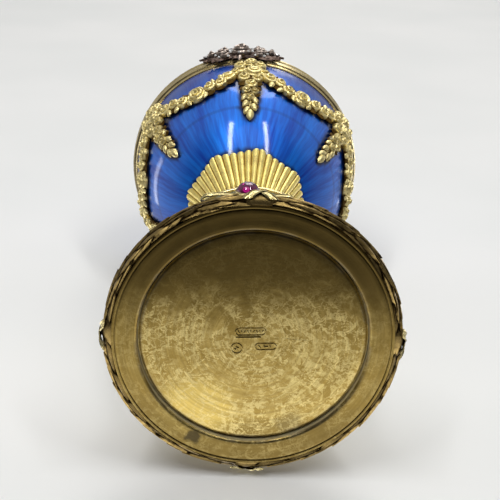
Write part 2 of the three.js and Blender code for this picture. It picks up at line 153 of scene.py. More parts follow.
def faced_out(piece, merge=0.002):
    """Merges doubled points and turns every face outwards."""
    hold(piece)
    bpy.ops.object.mode_set(mode="EDIT")
    bpy.ops.mesh.select_all(action="SELECT")
    bpy.ops.mesh.remove_doubles(threshold=merge * MM)
    bpy.ops.mesh.normals_make_consistent(inside=False)
    bpy.ops.object.mode_set(mode="OBJECT")
    return piece


def joined(name, pieces):
    """Several pieces made one."""
    clear()
    for piece in pieces:
        piece.select_set(True)
    bpy.context.view_layer.objects.active = pieces[0]
    bpy.ops.object.join()
    return added(name)


# %% [markdown]
# Round work is turned. One point is drawn along the half section by extruding it, and the line is
# spun about the axis. Doubled points at the seam and the poles are merged, so that the skin closes.

# %% Turning on the lathe
def turned(name, profile, steps=FINE):
    """Spins a half section of (radius, height) pairs, in millimetres, round the upright axis."""
    clear()
    bpy.ops.mesh.primitive_plane_add(size=MM)
    piece = added(name)
    bpy.ops.object.mode_set(mode="EDIT")
    bpy.ops.mesh.select_all(action="SELECT")
    bpy.ops.mesh.merge(type="CENTER")
    bpy.ops.transform.translate(value=(profile[0][0] * MM, 0, profile[0][1] * MM))
    for (here_r, here_z), (next_r, next_z) in zip(profile, profile[1:]):
        step = ((next_r - here_r) * MM, 0, (next_z - here_z) * MM)
        bpy.ops.mesh.extrude_vertices_move(TRANSFORM_OT_translate={"value": step})
    bpy.ops.mesh.select_all(action="SELECT")
    bpy.ops.mesh.spin(steps=steps, angle=2 * math.pi, center=(0, 0, 0), axis=(0, 0, 1))
    bpy.ops.object.mode_set(mode="OBJECT")
    faced_out(piece)
    return smoothed(piece)


def closed(profile):
    """A section that doesn't reach the axis is drawn back to its start, to give a ring."""
    return [*profile, profile[0]]


def curve_points(steps, place):
    """Points of a curve, place(share) with the share running from 0 to 1."""
    return [place(i / steps) for i in range(steps + 1)]


# %% [markdown]
# Ornament is modelled flat, where it is easy to lay out, and then wrapped round the body. The bend
# tool needs a window, so each point is moved by a rule instead: x runs round the object, y up its
# surface and z off it.

# %% Wrapping flat work round a body
def wrapped(piece, place):
    """Moves each point through place(x, y, z), from millimetres to metres."""
    for vertex in piece.data.vertices:
        vertex.co = place(vertex.co.x / MM, vertex.co.y / MM, vertex.co.z / MM)
    piece.data.update()
    return piece


def copied(pattern, name, matrix):
    """A copy of a pattern with its own mesh, placed by a matrix."""
    piece = bpy.data.objects.new(name, pattern.data.copy())
    bpy.context.scene.collection.objects.link(piece)
    piece.data.transform(matrix)
    return piece


def laid_out(name, parts):
    """Joins copies of patterns. Each part is (pattern, x, y, z, angle in degrees, (sx, sy, sz))."""
    copies = []
    for pattern, x, y, z, angle, (sx, sy, sz) in parts:
        matrix = Matrix.Translation(Vector((x, y, z)) * MM) @ Matrix.Rotation(angle * DEGREES, 4, "Z")
        matrix = matrix @ Matrix.Diagonal((sx, sy, sz, 1))
        copies.append(copied(pattern, name, matrix))
    return joined(name, copies)


# %% [markdown]
# Old gilding stays bright on what a cloth reaches and is dark in the hollows. Rays sent out from
# each point say how shut in it is, and the result is kept on the mesh for the materials to read.
# The enamel reads the same share as painted shadow beside the ornament.

# %% Marking the hollows
GOLDEN_ANGLE = 2.39996        # in radians, it spreads turns evenly


def around(normal, count):
    """Even directions over the half sphere round a normal."""
    side = normal.orthogonal().normalized()
    other = normal.cross(side)
    for i in range(count):
        rise = (i + 0.5) / count
        flat, spin = math.sqrt(1 - rise * rise), i * GOLDEN_ANGLE
        yield (side * math.cos(spin) + other * math.sin(spin)) * flat + normal * rise


def hollows_marked(piece, reach=1.2, count=14, others=()):
    """Keeps, for each point, the share of the rays that meet metal within reach."""
    points, faces = [], []
    for shape in (piece, *others):
        start = len(points)
        points.extend(vertex.co.copy() for vertex in shape.data.vertices)
        faces.extend([start + v for v in face.vertices] for face in shape.data.polygons)
    tree = BVHTree.FromPolygons(points, faces)
    hollow = piece.data.attributes.new("hollow", "FLOAT", "POINT")
    values = []
    for vertex in piece.data.vertices:
        normal = vertex.normal
        start = vertex.co + normal * 0.03 * MM
        met = sum(tree.ray_cast(start, ray, reach * MM)[0] is not None for ray in around(normal, count))
        values.append(met / count)
    hollow.data.foreach_set("value", values)


# %% [markdown]
# ## Ways with materials
# A material is a net of nodes. These short helpers put a node in, set its values and join it up,
# so that each finish below reads as a recipe.

# %% Nodes
def put(tree, kind, links=None, **settings):
    """Adds a shader node. Links is a dict of input name to a value or to another node's output."""
    made = tree.nodes.new("ShaderNode" + kind)
    for setting, value in settings.items():
        setattr(made, setting, value)
    for name, value in (links or {}).items():
        if isinstance(value, bpy.types.NodeSocket):
            tree.links.new(value, made.inputs[name])
        else:
            made.inputs[name].default_value = value
    return made


def sums(tree, operation, first, second=0.0):
    return put(tree, "Math", {0: first, 1: second}, operation=operation).outputs[0]


def times(tree, first, second):
    return sums(tree, "MULTIPLY", first, second)


def plus(tree, first, second):
    return sums(tree, "ADD", first, second)


def minus(tree, first, second):
    return sums(tree, "SUBTRACT", first, second)


def between(tree, value, low, high, start=0.0, end=1.0):
    """Start below low, end above high, and a soft step from one to the other."""
    links = {"Value": value, "From Min": low, "From Max": high, "To Min": start, "To Max": end}
    return put(tree, "MapRange", links, interpolation_type="SMOOTHSTEP").outputs["Result"]


def blended(tree, share, first, second):
    """Two colours mixed by a share."""
    links = {0: share, 6: first, 7: second}
    return put(tree, "Mix", links, data_type="RGBA", clamp_factor=True).outputs[2]


def noise(tree, where, scale, detail=3.0, roughness=0.55, distortion=0.0):
    links = {"Vector": where, "Scale": scale, "Detail": detail, "Roughness": roughness}
    return put(tree, "TexNoise", {**links, "Distortion": distortion}).outputs["Fac"]


def colour(red, green, blue):
    """A colour given as it looks on screen, from 0 to 255, turned into light values."""
    def linear(value):
        value /= 255
        return value / 12.92 if value <= 0.04045 else ((value + 0.055) / 1.055) ** 2.4
    return (linear(red), linear(green), linear(blue), 1.0)


def new_group(name, inputs, outputs):
    """A node group whose sockets are given as (name, kind, value) rows."""
    tree = bpy.data.node_groups.new(name, "ShaderNodeTree")
    for label, kind, value in inputs:
        socket = tree.interface.new_socket(name=label, in_out="INPUT", socket_type="NodeSocket" + kind)
        if value is not None:
            socket.default_value = value
    for label, kind in outputs:
        tree.interface.new_socket(name=label, in_out="OUTPUT", socket_type="NodeSocket" + kind)
    return tree, tree.nodes.new("NodeGroupInput"), tree.nodes.new("NodeGroupOutput")


def use_group(tree, group, links):
    return put(tree, "Group", links, node_tree=group)


def new_material(name):
    """A material, its net, its shader and the place on the object in millimetres."""
    material = bpy.data.materials.new(name)
    material.use_nodes = True
    tree = material.node_tree
    shader = tree.nodes["Principled BSDF"]
    place = put(tree, "TexCoord").outputs["Object"]
    in_mm = put(tree, "Mapping", {"Vector": place, "Scale": (1000, 1000, 1000)}).outputs["Vector"]
    return material, tree, shader, in_mm


def attribute(tree, name):
    return put(tree, "Attribute", attribute_name=name).outputs["Fac"]


def bumped(tree, shader, height, strength, distance=0.05):
    links = {"Height": height, "Strength": strength, "Distance": distance * MM}
    tree.links.new(put(tree, "Bump", links).outputs["Normal"], shader.inputs["Normal"])


# %% [markdown]
# ### Antique gilding
# The same tarnish lies in the hollows of every cast piece, so it is a node group: bright metal on
# the crests, brown in the recesses, with a little unevenness so that the edge of the dark wanders.

# %% Group: tarnish
tarnish, tarnish_in, tarnish_out = new_group(
    "tarnish",
    [("Place", "Vector", None), ("Hollow", "Float", 0.0), ("Bright", "Color", (1, 1, 1, 1)),
     ("Dark", "Color", (0, 0, 0, 1)), ("Low", "Float", 0.25), ("High", "Float", 0.7)],
    [("Color", "Color"), ("Dirt", "Float")],
)
wander = noise(tarnish, tarnish_in.outputs["Place"], 1.6, 4.0)
shut_in = plus(tarnish, tarnish_in.outputs["Hollow"],
               times(tarnish, minus(tarnish, wander, 0.5), 0.45))
dirt = between(tarnish, shut_in, tarnish_in.outputs["Low"], tarnish_in.outputs["High"])
tone = blended(tarnish, dirt, tarnish_in.outputs["Bright"], tarnish_in.outputs["Dark"])
tarnish.links.new(tone, tarnish_out.inputs["Color"])
tarnish.links.new(dirt, tarnish_out.inputs["Dirt"])

# %% [markdown]
# ### Patina of the foot
# Where gilding has worn and been handled it breaks into a net of pale veins over darker islands.
# The edges of Voronoi cells give such a net once noise has pushed them out of shape.

# %% Group: patina veins
patina, patina_in, patina_out = new_group(
    "patina_veins",
    [("Place", "Vector", None), ("Cells", "Float", 0.4), ("Width", "Float", 0.12)],
    [("Veins", "Float"), ("Mottle", "Float"), ("Grain", "Float")],
)
spot = patina_in.outputs["Place"]


def jostled(tree, spot, scale, reach):
    """The same place, pushed about by noise."""
    push = put(tree, "TexNoise", {"Vector": spot, "Scale": scale, "Detail": 4.0, "Roughness": 0.6})
    shift = put(tree, "VectorMath", {0: push.outputs["Color"], 1: (0.5, 0.5, 0.5)}, operation="SUBTRACT")
    shift = put(tree, "VectorMath", {0: shift.outputs[0], "Scale": reach}, operation="SCALE")
    return put(tree, "VectorMath", {0: spot, 1: shift.outputs[0]}, operation="ADD").outputs[0]


pushed = jostled(patina, jostled(patina, spot, 0.22, 6.0), 1.1, 1.6)
flattened = put(patina, "VectorMath", {0: pushed, 1: (0.8, 1.25, 1.0)}, operation="MULTIPLY").outputs[0]
net = 0.0
for size, strength, width in ((1.0, 1.0, 1.0), (2.1, 0.8, 0.9)):
    cells = times(patina, patina_in.outputs["Cells"], size)
    edge = put(patina, "TexVoronoi", {"Vector": flattened, "Scale": cells}, feature="DISTANCE_TO_EDGE")
    wide = times(patina, patina_in.outputs["Width"], width)
    wide = times(patina, wide, between(patina, noise(patina, spot, 0.8, 3.0), 0.3, 0.7, 0.4, 1.5))
    line = between(patina, edge.outputs["Distance"], times(patina, wide, 0.35), wide, strength, 0.0)
    net = sums(patina, "MAXIMUM", net, line)
cover = between(patina, noise(patina, spot, 0.2, 3.0, 0.6), 0.36, 0.52, 0.1, 1.0)
fray = between(patina, noise(patina, spot, 2.6, 3.0, 0.6), 0.3, 0.5, 0.35, 1.0)
net = times(patina, times(patina, net, cover), fray)
patina.links.new(net, patina_out.inputs["Veins"])
patina.links.new(noise(patina, pushed, 0.3, 5.0, 0.65), patina_out.inputs["Mottle"])
patina.links.new(noise(patina, spot, 5.0, 3.0, 0.6), patina_out.inputs["Grain"])

# %% [markdown]
# ### Lathe marks
# Turned metal keeps fine rings from the tool and the buff. Noise that is read by radius alone gives
# rings, and a little of the angle breaks them into arcs.

# %% Group: lathe marks
lathe, lathe_in, lathe_out = new_group(
    "lathe_marks", [("Place", "Vector", None), ("Pitch", "Float", 3.0)], [("Rings", "Float")]
)
parts = put(lathe, "SeparateXYZ", {0: lathe_in.outputs["Place"]}).outputs
radius = sums(lathe, "SQRT", plus(lathe, times(lathe, parts[0], parts[0]),
                                  times(lathe, parts[1], parts[1])))
angle = sums(lathe, "ARCTAN2", parts[0], parts[1])
ring_place = put(lathe, "CombineXYZ", {0: times(lathe, radius, lathe_in.outputs["Pitch"]),
                                       1: times(lathe, angle, 1.3), 2: parts[2]}).outputs[0]
lathe.links.new(noise(lathe, ring_place, 1.0, 4.0, 0.6), lathe_out.inputs["Rings"])

# %% [markdown]
# ### Gilt finishes
# One recipe serves all the gilt pieces, each with its own colours: tarnish from the hollows, lathe
# marks or fine grain in the bump, and a roughness that rises where the metal is dull.

# %% Gilt
def gilt(name, bright, dark, roughness=0.25, low=0.25, high=0.7, rings=0.0, grain=0.25, metal=1.0):
    material, tree, shader, place = new_material(name)
    aged = use_group(tree, tarnish, {"Place": place, "Hollow": attribute(tree, "hollow"),
                                     "Bright": bright, "Dark": dark, "Low": low, "High": high})
    cloud = between(tree, noise(tree, place, 0.35, 4.0), 0.3, 0.7)
    shade = blended(tree, times(tree, cloud, 0.35), aged.outputs["Color"], dark)
    tree.links.new(shade, shader.inputs["Base Color"])
    fine = noise(tree, place, 6.0, 3.0)
    rough = plus(tree, times(tree, aged.outputs["Dirt"], 0.35),
                 between(tree, fine, 0.3, 0.7, roughness * 0.75, roughness * 1.35))
    tree.links.new(rough, shader.inputs["Roughness"])
    shader.inputs["Metallic"].default_value = metal
    height = fine
    if rings:
        marks = use_group(tree, lathe, {"Place": place, "Pitch": 4.0}).outputs["Rings"]
        height = plus(tree, times(tree, marks, rings), times(tree, fine, grain))
    bumped(tree, shader, height, 0.25 if rings else grain, 0.04)
    return material


# painted shade: the laurel gets darker colours than the other gilding, and a low below zero darkens even its
# crests, for the shade the garland lies in
shaded_leaf_gold = gilt("laurel_gilt_painted_shade", colour(176, 150, 92), colour(40, 28, 12), 0.3, -0.06, 0.34)
ribbon_gold = gilt("ribbon_gilt", colour(226, 210, 150), colour(44, 32, 12), 0.26, 0.12, 0.5)
rose_gold = gilt("rose_gilt", colour(255, 238, 170), colour(112, 86, 38), 0.4, 0.32, 0.8, metal=0.85)
reed_gold = gilt("reed_gilt", colour(255, 236, 142), colour(164, 112, 30), 0.32, 0.4, 0.9, metal=0.7)
bezel_gold = gilt("bezel_gilt", colour(226, 206, 150), colour(84, 66, 30), 0.26, 0.3, 0.85, 0.15)
neck_gold = gilt("neck_gilt", colour(232, 204, 128), colour(92, 70, 26), 0.22, 0.3, 0.8, 0.6)
rim_gold = gilt("rim_gilt", colour(244, 224, 160), colour(96, 74, 30), 0.2, 0.35, 0.85)

# %% [markdown]
# ## The foot
# The foot is a shallow dish of gilt silver seen from below: a flat ring to stand on, a fine lip, a
# recess with a plate let into it. It is turned as one section that runs from the recess, over the
# ring, up the outside and in under the collar.

# %% Turn the foot
PLATE_FACE = 0.9


def foot_dome(share):
    swing = share * math.pi / 2
    return (15.4 + 7.9 * (1 - math.sin(swing)), 4.7 + 15.3 * (1 - math.cos(swing)))


foot = turned("foot_turned", [
    (0, 1.7), (20.2, 1.7), (20.42, 1.66), (20.5, 1.5), (20.5, 0.5), (20.62, 0.2), (20.85, 0.04), (21.1, 0),
    (21.9, 0.03), (22.7, 0.05), (23.5, 0.03), (24.1, 0), (24.25, 0.03), (24.32, 0.25), (24.42, 0.25),
    (24.5, 0.05), (24.6, 0), (24.85, 0), (24.96, 0.04), (25.0, 0.12), (24.9, 0.25), (23.3, 0.45), (23.3, 3.4),
    (24.3, 3.4), (24.4, 3.55), (24.4, 4.25), (24.25, 4.4), (23.8, 4.45), (23.6, 4.55),
    *curve_points(20, foot_dome),
    (15.5, 20.1), (15.9, 20.15), (16.0, 20.3), (16.0, 20.85), (15.85, 21.0), (0, 21.0),
], steps=192)
print("foot:", len(foot.data.polygons), "faces")

# %% [markdown]
# The underside has aged unevenly: veined in the middle, showing its lathe marks towards the top, with
# a stain on the ring. Light and shade are painted on it as well: a pale reflection low on the left,
# darker towards the top as painted shade, a pale wall in the recess as painted light, and painted shade
# on the ring where it bears on the table. Masks made from distance to a few places on the object put
# each of these where it belongs.

# %% Patina and painted light of the underside
def near(tree, place, centre, inner, outer, wobble=2.5):
    """A soft-edged spot round a centre, its edge pushed about by noise."""
    away = put(tree, "VectorMath", {0: place, 1: centre}, operation="DISTANCE").outputs["Value"]
    push = times(tree, minus(tree, noise(tree, place, 0.5, 4.0, 0.65), 0.5), wobble * 2)
    return between(tree, plus(tree, away, push), inner, outer, 1.0, 0.0)


def underside_gilt(name):
    material, tree, shader, place = new_material(name)
    x, y, z = put(tree, "SeparateXYZ", {0: place}).outputs
    aged = use_group(tree, patina, {"Place": place, "Cells": 0.36, "Width": 0.085})
    marks = use_group(tree, lathe, {"Place": place, "Pitch": 2.6}).outputs["Rings"]
    mottle = between(tree, aged.outputs["Mottle"], 0.34, 0.66)
    base = blended(tree, mottle, colour(146, 122, 62), colour(170, 146, 82))
    # painted shade makes the upper part, towards the front, darker and browner, and its veins are faint there
    front = between(tree, plus(tree, y, times(tree, aged.outputs["Mottle"], 8.0)), -9.0, 5.0)
    base = blended(tree, front, colour(92, 76, 38), base)
    # painted reflection: a pale patch low on the left, where the pale table shows in the metal
    painted_reflection_low_left = near(tree, place, (-9.5, 15.5, PLATE_FACE), 4.0, 9.5)
    base = blended(tree, times(tree, painted_reflection_low_left, 0.8), base, colour(206, 180, 100))
    edge = put(tree, "VectorMath", {0: place, 1: (1, 1, 0)}, operation="MULTIPLY").outputs[0]
    edge = put(tree, "VectorMath", {0: edge}, operation="LENGTH").outputs["Value"]
    # the ring is darker all over, and painted shade makes it darkest where it bears on the table
    ring_dark_and_painted_contact_shade = plus(tree, y, times(tree, aged.outputs["Mottle"], 12.0))
    ring_dark_and_painted_contact_shade = times(tree, between(tree, edge, 20.4, 21.0), between(tree, ring_dark_and_painted_contact_shade, 10.0, 27.0, 0.25, 0.85))
    base = blended(tree, ring_dark_and_painted_contact_shade, base, colour(92, 76, 40))
    low_edge = times(tree, between(tree, y, 14.5, 19.5, 0.0, 0.7), between(tree, x, -9.0, -4.0))
    base = blended(tree, low_edge, base, colour(112, 94, 50))
    veins = times(tree, aged.outputs["Veins"], between(tree, front, 0.0, 1.0, 0.05, 0.9))
    veins = times(tree, veins, between(tree, edge, 20.4, 21.0, 1.0, 0.22))
    base = blended(tree, times(tree, veins, 0.9), base, colour(220, 200, 134))
    flakes = between(tree, noise(tree, place, 0.75, 4.0, 0.6, 0.8), 0.5, 0.55)
    flakes = times(tree, flakes, near(tree, place, (13.0, 8.0, PLATE_FACE), 4.0, 10.0))
    flakes = times(tree, flakes, between(tree, edge, 20.0, 20.3, 0.55, 0.0))
    base = blended(tree, flakes, base, colour(218, 198, 130))
    rings = between(tree, marks, 0.38, 0.62, 0.0, 0.3)
    base = blended(tree, rings, base, colour(96, 78, 40))
    stain = near(tree, place, (-10.2, 19.8, 0.0), 0.9, 1.7, 1.3)
    smudge = near(tree, place, (7.5, 16.8, PLATE_FACE), 1.2, 3.4, 2.4)
    base = blended(tree, times(tree, stain, 0.92), base, colour(62, 54, 36))
    base = blended(tree, times(tree, smudge, 0.35), base, colour(92, 84, 62))
    grey = times(tree, between(tree, edge, 19.2, 20.2), between(tree, edge, 20.5, 21.2, 1.0, 0.0))
    grey = times(tree, grey, between(tree, noise(tree, place, 0.25, 3.0), 0.4, 0.6))
    base = blended(tree, times(tree, grey, 0.6), base, colour(104, 98, 84))
    base = blended(tree, between(tree, aged.outputs["Grain"], 0.62, 0.78, 0.0, 0.4), base, colour(88, 72, 36))
    outside = between(tree, z, 2.7, 3.3, 0.0, 0.85)
    base = blended(tree, outside, base, blended(tree, mottle, colour(196, 166, 98), colour(208, 180, 112)))
    struck_round = between(tree, attribute(tree, "hollow"), 0.08, 0.4, 0.0, 0.8)
    base = blended(tree, struck_round, base, colour(44, 34, 16))
    # painted light: the wall of the recess is pale and half metallic, to show a bright line that no lamp
    # gives it
    wall = times(tree, between(tree, edge, 20.3, 20.5), between(tree, z, 0.25, 0.5))
    base = blended(tree, times(tree, wall, 0.8), base, colour(196, 184, 142))
    tree.links.new(base, shader.inputs["Base Color"])
    rough = plus(tree, between(tree, aged.outputs["Mottle"], 0.3, 0.7, 0.3, 0.42),
                 times(tree, veins, 0.12))
    tree.links.new(rough, shader.inputs["Roughness"])
    tree.links.new(between(tree, wall, 0.0, 1.0, 1.0, 0.5), shader.inputs["Metallic"])
    height = plus(tree, times(tree, marks, 0.9), times(tree, veins, 0.5))
    height = plus(tree, height, times(tree, aged.outputs["Grain"], 0.35))
    bumped(tree, shader, height, 0.3, 0.05)
    return material


foot_gilt = underside_gilt("foot_gilt")

# %% [markdown]
# ## The plate and its punches
# The plate closes the recess. It carries three small struck marks: a long cartouche over a line,
# a round one and an oval one. They are raised strokes with nothing to read in them.

# %% Turn the plate
plate = turned("plate_turned", [
    (0, PLATE_FACE), (6, PLATE_FACE + 0.02), (12, PLATE_FACE), (18, PLATE_FACE + 0.03), (19.6, PLATE_FACE),
    (19.95, PLATE_FACE + 0.06), (20.15, PLATE_FACE + 0.25), (20.2, 1.7), (0, 1.7),
], steps=192)

# %% [markdown]
# A punch leaves a sunk field with a raised edge. At this size the edge and the strokes are what is
# seen, so they are modelled as small raised bars, and the field is left level. A small ring pulled
# apart in the middle gives the long outlines.

# %% Strike the marks
def outline(width, height, centre, bar=0.24, steps=32):
    """A raised outline: a ring for equal sides, and a long one with round ends otherwise."""
    clear()
    minor = bar / 2
    bpy.ops.mesh.primitive_torus_add(major_radius=height / 2 * MM, minor_radius=minor * MM,
                                     major_segments=steps, minor_segments=8)
    piece = added("outline")
    stretch = (width - height) / 2
    for vertex in piece.data.vertices:
        if abs(vertex.co.x) > 1e-6:
            vertex.co.x += math.copysign(stretch * MM, vertex.co.x)
        vertex.co.z *= 1.6
        vertex.co += Vector((centre[0], centre[1], PLATE_FACE)) * MM
    return piece


def stroke(x, y, length, angle, width=0.15):
    """A short raised bar with softened edges."""
    clear()
    bpy.ops.mesh.primitive_cube_add(size=1, location=(x * MM, y * MM, PLATE_FACE * MM),
                                    rotation=(0, 0, angle * DEGREES))
    piece = added("stroke")
    piece.scale = (length * MM, width * MM, 0.46 * MM)
    settled(piece)
    return modified(piece, "BEVEL", width=0.06 * MM, segments=2)


marks_turn = Matrix.Rotation(-3.0 * DEGREES, 4, "Z")
struck = [outline(5.3, 1.35, (-0.45, -1.2)), outline(1.95, 1.95, (-2.95, 2.0)),
          outline(3.7, 1.25, (2.2, 1.75))]
for i in range(9):
    struck.append(stroke(-2.55 + i * 0.53, -1.2, 0.55, (62, 90, 118)[i % 3], 0.17))
struck.append(stroke(-0.85, -0.12, 4.4, 0))
struck += [stroke(-2.95, 2.0, 0.8, 90), stroke(-2.75, 1.85, 0.5, 20), stroke(-3.2, 2.15, 0.45, 35)]
struck += [stroke(1.1, 1.75, 0.6, 50), stroke(1.9, 1.75, 0.65, 90), stroke(2.3, 1.75, 0.6, 0),
           stroke(3.0, 1.8, 0.6, 75)]
plate = joined("plate_struck", [plate, *struck])
plate.data.update()
for vertex in plate.data.vertices:
    if vertex.co.xy.length < 6 * MM:
        vertex.co = marks_turn @ vertex.co
smoothed(plate)
hollows_marked(plate, reach=0.7)
hollow = plate.data.attributes["hollow"].data
for vertex in plate.data.vertices:
    if vertex.co.z > (PLATE_FACE - 0.04) * MM:
        hollow[vertex.index].value = 0.0
print("plate:", len(plate.data.polygons), "faces")

# %% [markdown]
# ## Leaf, bud and rose
# All the casting is made of three kinds of pattern. The leaf is a grid pulled to a point at both ends,
# with a midrib and slanting veins. The bud is a ball drawn out to a tip. The rose is turned and then
# carved: two rows of petals with a dip between neighbours, round a rolled centre.

# %% Leaf pattern
def leaf_pattern(name, rows=12, columns=6, veins=6, ridge=0.05, fold=0.16, curl=0.18, serrate=0.0):
    """One leaf, 1 long and 1 wide, along +X from the origin, with its face up. In millimetres."""
    clear()
    bpy.ops.mesh.primitive_grid_add(x_subdivisions=rows, y_subdivisions=columns, size=MM)
    piece = added(name)
    for vertex in piece.data.vertices:
        along, across = vertex.co.x / MM + 0.5, vertex.co.y / MM * 2
        along, across = max(0.0, min(1.0, along)), max(-1.0, min(1.0, across))
        width = max(0.0, math.sin(math.pi * along ** 0.8)) ** 0.75 * 0.5
        width *= 1 - serrate * (0.5 + 0.5 * math.cos(along * veins * 2 * math.pi)) * abs(across)
        side = abs(across)
        slant = (along - 0.3 * side) * veins
        wave = abs((slant % 1) - 0.5) * 2 - 0.5
        rise = fold * (1 - side) ** 1.5 + ridge * wave * side * 2 + curl * along ** 2
        vertex.co = Vector((along, across * width, rise)) * MM
    modified(piece, "SOLIDIFY", thickness=0.12 * MM, offset=-1.0)
    return faced_out(piece, merge=0.001)


laurel_leaf = leaf_pattern("pattern_laurel_leaf", curl=0.1, fold=0.2, ridge=0.06)
rose_leaf = leaf_pattern("pattern_rose_leaf", 8, 4, 4, 0.06, 0.2, 0.12)
spray_leaf = leaf_pattern("pattern_spray_leaf", 12, 6, 5, 0.07, 0.16, 0.1, 0.35)
print("laurel leaf:", len(laurel_leaf.data.polygons), "faces")

# %% [markdown]
# A bud is a closed flower drawn to a tip, with shallow folds down its sides. A small ball is enough:
# each point is drawn in towards the tip, and a wave round the axis cuts the folds.

# %% Bud pattern
clear()
bpy.ops.mesh.primitive_uv_sphere_add(segments=10, ring_count=7, radius=0.5 * MM, rotation=(0, math.pi / 2, 0))
bud = settled(added("pattern_bud"))
for vertex in bud.data.vertices:
    along = min(1.0, max(0.0, vertex.co.x / MM + 0.5))
    slim = (1 - along) ** 0.35 * 0.95 + 0.12
    grooves = 1 - 0.12 * abs(math.sin(3 * math.atan2(vertex.co.z, vertex.co.y)))
    vertex.co = Vector((along * MM, vertex.co.y * slim * grooves, vertex.co.z * slim * grooves))
bud.data.update()
print("bud:", len(bud.data.polygons), "faces")

# %% [markdown]
# A chased rose has rings of petals round a rolled heart. Turning gives the rings, and pushing the
# outer points in and down between petals gives the lobes. Small roses are turned with fewer steps.

# %% Rose pattern
def rose_pattern(name, steps, section, petals=5):
    """A rose 2 across, its back at z = -0.25. In millimetres."""
    piece = turned(name, section, steps)
    for vertex in piece.data.vertices:
        x, y, z = vertex.co / MM
        away, swing = math.hypot(x, y), math.atan2(y, x)
        if z < -0.2 or away < 0.02:
            continue
        if away > 0.5:
            lobe = abs(math.sin(petals * swing / 2)) ** 0.5
            away, z = away * (0.9 + 0.1 * lobe), z - 0.16 * (1 - lobe) * (away - 0.45) / 0.55
        else:
            z += 0.08 * math.sin(swing + 0.6)
        vertex.co = Vector((away * math.cos(swing), away * math.sin(swing), z)) * MM
    piece.data.update()
    return piece


rose = rose_pattern("pattern_rose", 30, [
    (0, 0.52), (0.1, 0.58), (0.2, 0.9), (0.3, 0.9), (0.36, 0.56), (0.46, 0.74), (0.58, 0.8), (0.66, 0.7),
    (0.7, 0.42), (0.82, 0.52), (0.93, 0.42), (1.0, 0.14), (0.96, -0.25), (0, -0.25),
])
small_rose = rose_pattern("pattern_small_rose", 20, [
    (0, 0.6), (0.14, 0.66), (0.28, 0.94), (0.42, 0.88), (0.5, 0.5), (0.66, 0.66), (0.86, 0.56), (1.0, 0.16),
    (0.96, -0.25), (0, -0.25),
], 4)
print("rose:", len(rose.data.polygons), "faces; small rose:", len(small_rose.data.polygons))

# %% [markdown]
# ## The laurel garland
# A rounded moulding runs round the foot, and overlapping laurel leaves lie on it, all pointing the
# same way, in six rows with every second row half a leaf on. The leaves are laid out flat, with x
# round the foot and y round the moulding, and then wrapped onto it. Its section is a little oval.

# %% Lay the leaves
GARLAND_RING, GARLAND_HEIGHT, GARLAND_DEEP, GARLAND_TALL = 25.1, 1.6, 1.5, 1.4
CLUSTERS_PER_QUARTER, TIE_SPACE = 6, 4.0
ROUND_MM = 1.45               # millimetres of flat work per radian round the moulding


def on_garland(x, y, h):
    azimuth, swing = x / GARLAND_RING, y / ROUND_MM
    radius = GARLAND_RING + (GARLAND_DEEP + h) * math.cos(swing)
    return polar(radius, azimuth, GARLAND_HEIGHT + (GARLAND_TALL + h) * math.sin(swing))


def leaf_places():
    chance = random.Random(11)
    cluster = (90 - 2 * TIE_SPACE) / CLUSTERS_PER_QUARTER
    for quarter in range(4):
        for row, swing in enumerate((-78, -46, -14, 18, 50, 82)):
            shift = 0.5 if row % 2 else 0.0
            count = CLUSTERS_PER_QUARTER - (1 if row % 2 else 0)
            for i in range(count):
                azimuth = quarter * 90 + TIE_SPACE + (i + shift) * cluster - 0.5
                x = azimuth * DEGREES * GARLAND_RING
                y = swing * DEGREES * ROUND_MM + chance.uniform(-0.08, 0.08)
                size = (7.2 + chance.uniform(-0.4, 0.4), 1.6 + chance.uniform(-0.15, 0.15), 1.5)
                lift = -0.27 if row % 2 else -0.35
                yield (laurel_leaf, x, y, lift, chance.uniform(-5, 5), size)


leaves = laid_out("laurel_leaves", list(leaf_places()))
wrapped(leaves, on_garland)
clear()
bpy.ops.mesh.primitive_torus_add(major_radius=GARLAND_RING * MM, minor_radius=1.0 * MM,
                                 major_segments=240, minor_segments=16)
moulding = added("moulding")
for vertex in moulding.data.vertices:
    swing = math.atan2(vertex.co.z, vertex.co.xy.length - GARLAND_RING * MM)
    azimuth = math.atan2(vertex.co.x, -vertex.co.y)
    # the moulding swells a little under each tie, so that no light shows through the crossing
    from_tie = abs((azimuth / DEGREES + 45) % 90 - 45)
    swell = 0.6 * max(0.0, 1 - (from_tie / 6.5) ** 4)
    vertex.co = on_garland(azimuth * GARLAND_RING, swing * ROUND_MM, -0.6 + swell)
garland = joined("garland_leaves", [leaves, moulding])
smoothed(garland, 50)
hollows_marked(garland, reach=1.0)
print("garland:", len(garland.data.polygons), "faces")

# %% [markdown]
# ## Ribbon ties and the bow
# At each quarter a ribbon crosses over the leaves, and at the front it ends in a bow. A ribbon is
# a thin strip with a raised edge on each side. It is drawn flat as a grid, given its section, then
# led along its path.

# %% Ribbon strips
RIBBON_WIDTH, RIBBON_THICK = 1.3, 0.36


def ribbon_strip(name, place, steps=24, width=RIBBON_WIDTH, looped=False):
    """A strip led along place(share, across, h), with the share from 0 to 1."""
    clear()
    bpy.ops.mesh.primitive_grid_add(x_subdivisions=steps, y_subdivisions=8, size=MM)
    piece = added(name)
    for vertex in piece.data.vertices:
        side = abs(vertex.co.y / MM) * 2
        vertex.co.z = (0.13 * side ** 4 - 0.05 * math.cos(side * 9)) * MM
    modified(piece, "SOLIDIFY", thickness=0.24 * MM, offset=-1.0)
    wrapped(piece, lambda x, y, h: place(x + 0.5, y * width, h + RIBBON_THICK * 0.75))
    return faced_out(piece, merge=0.003 if looped else 0.001)


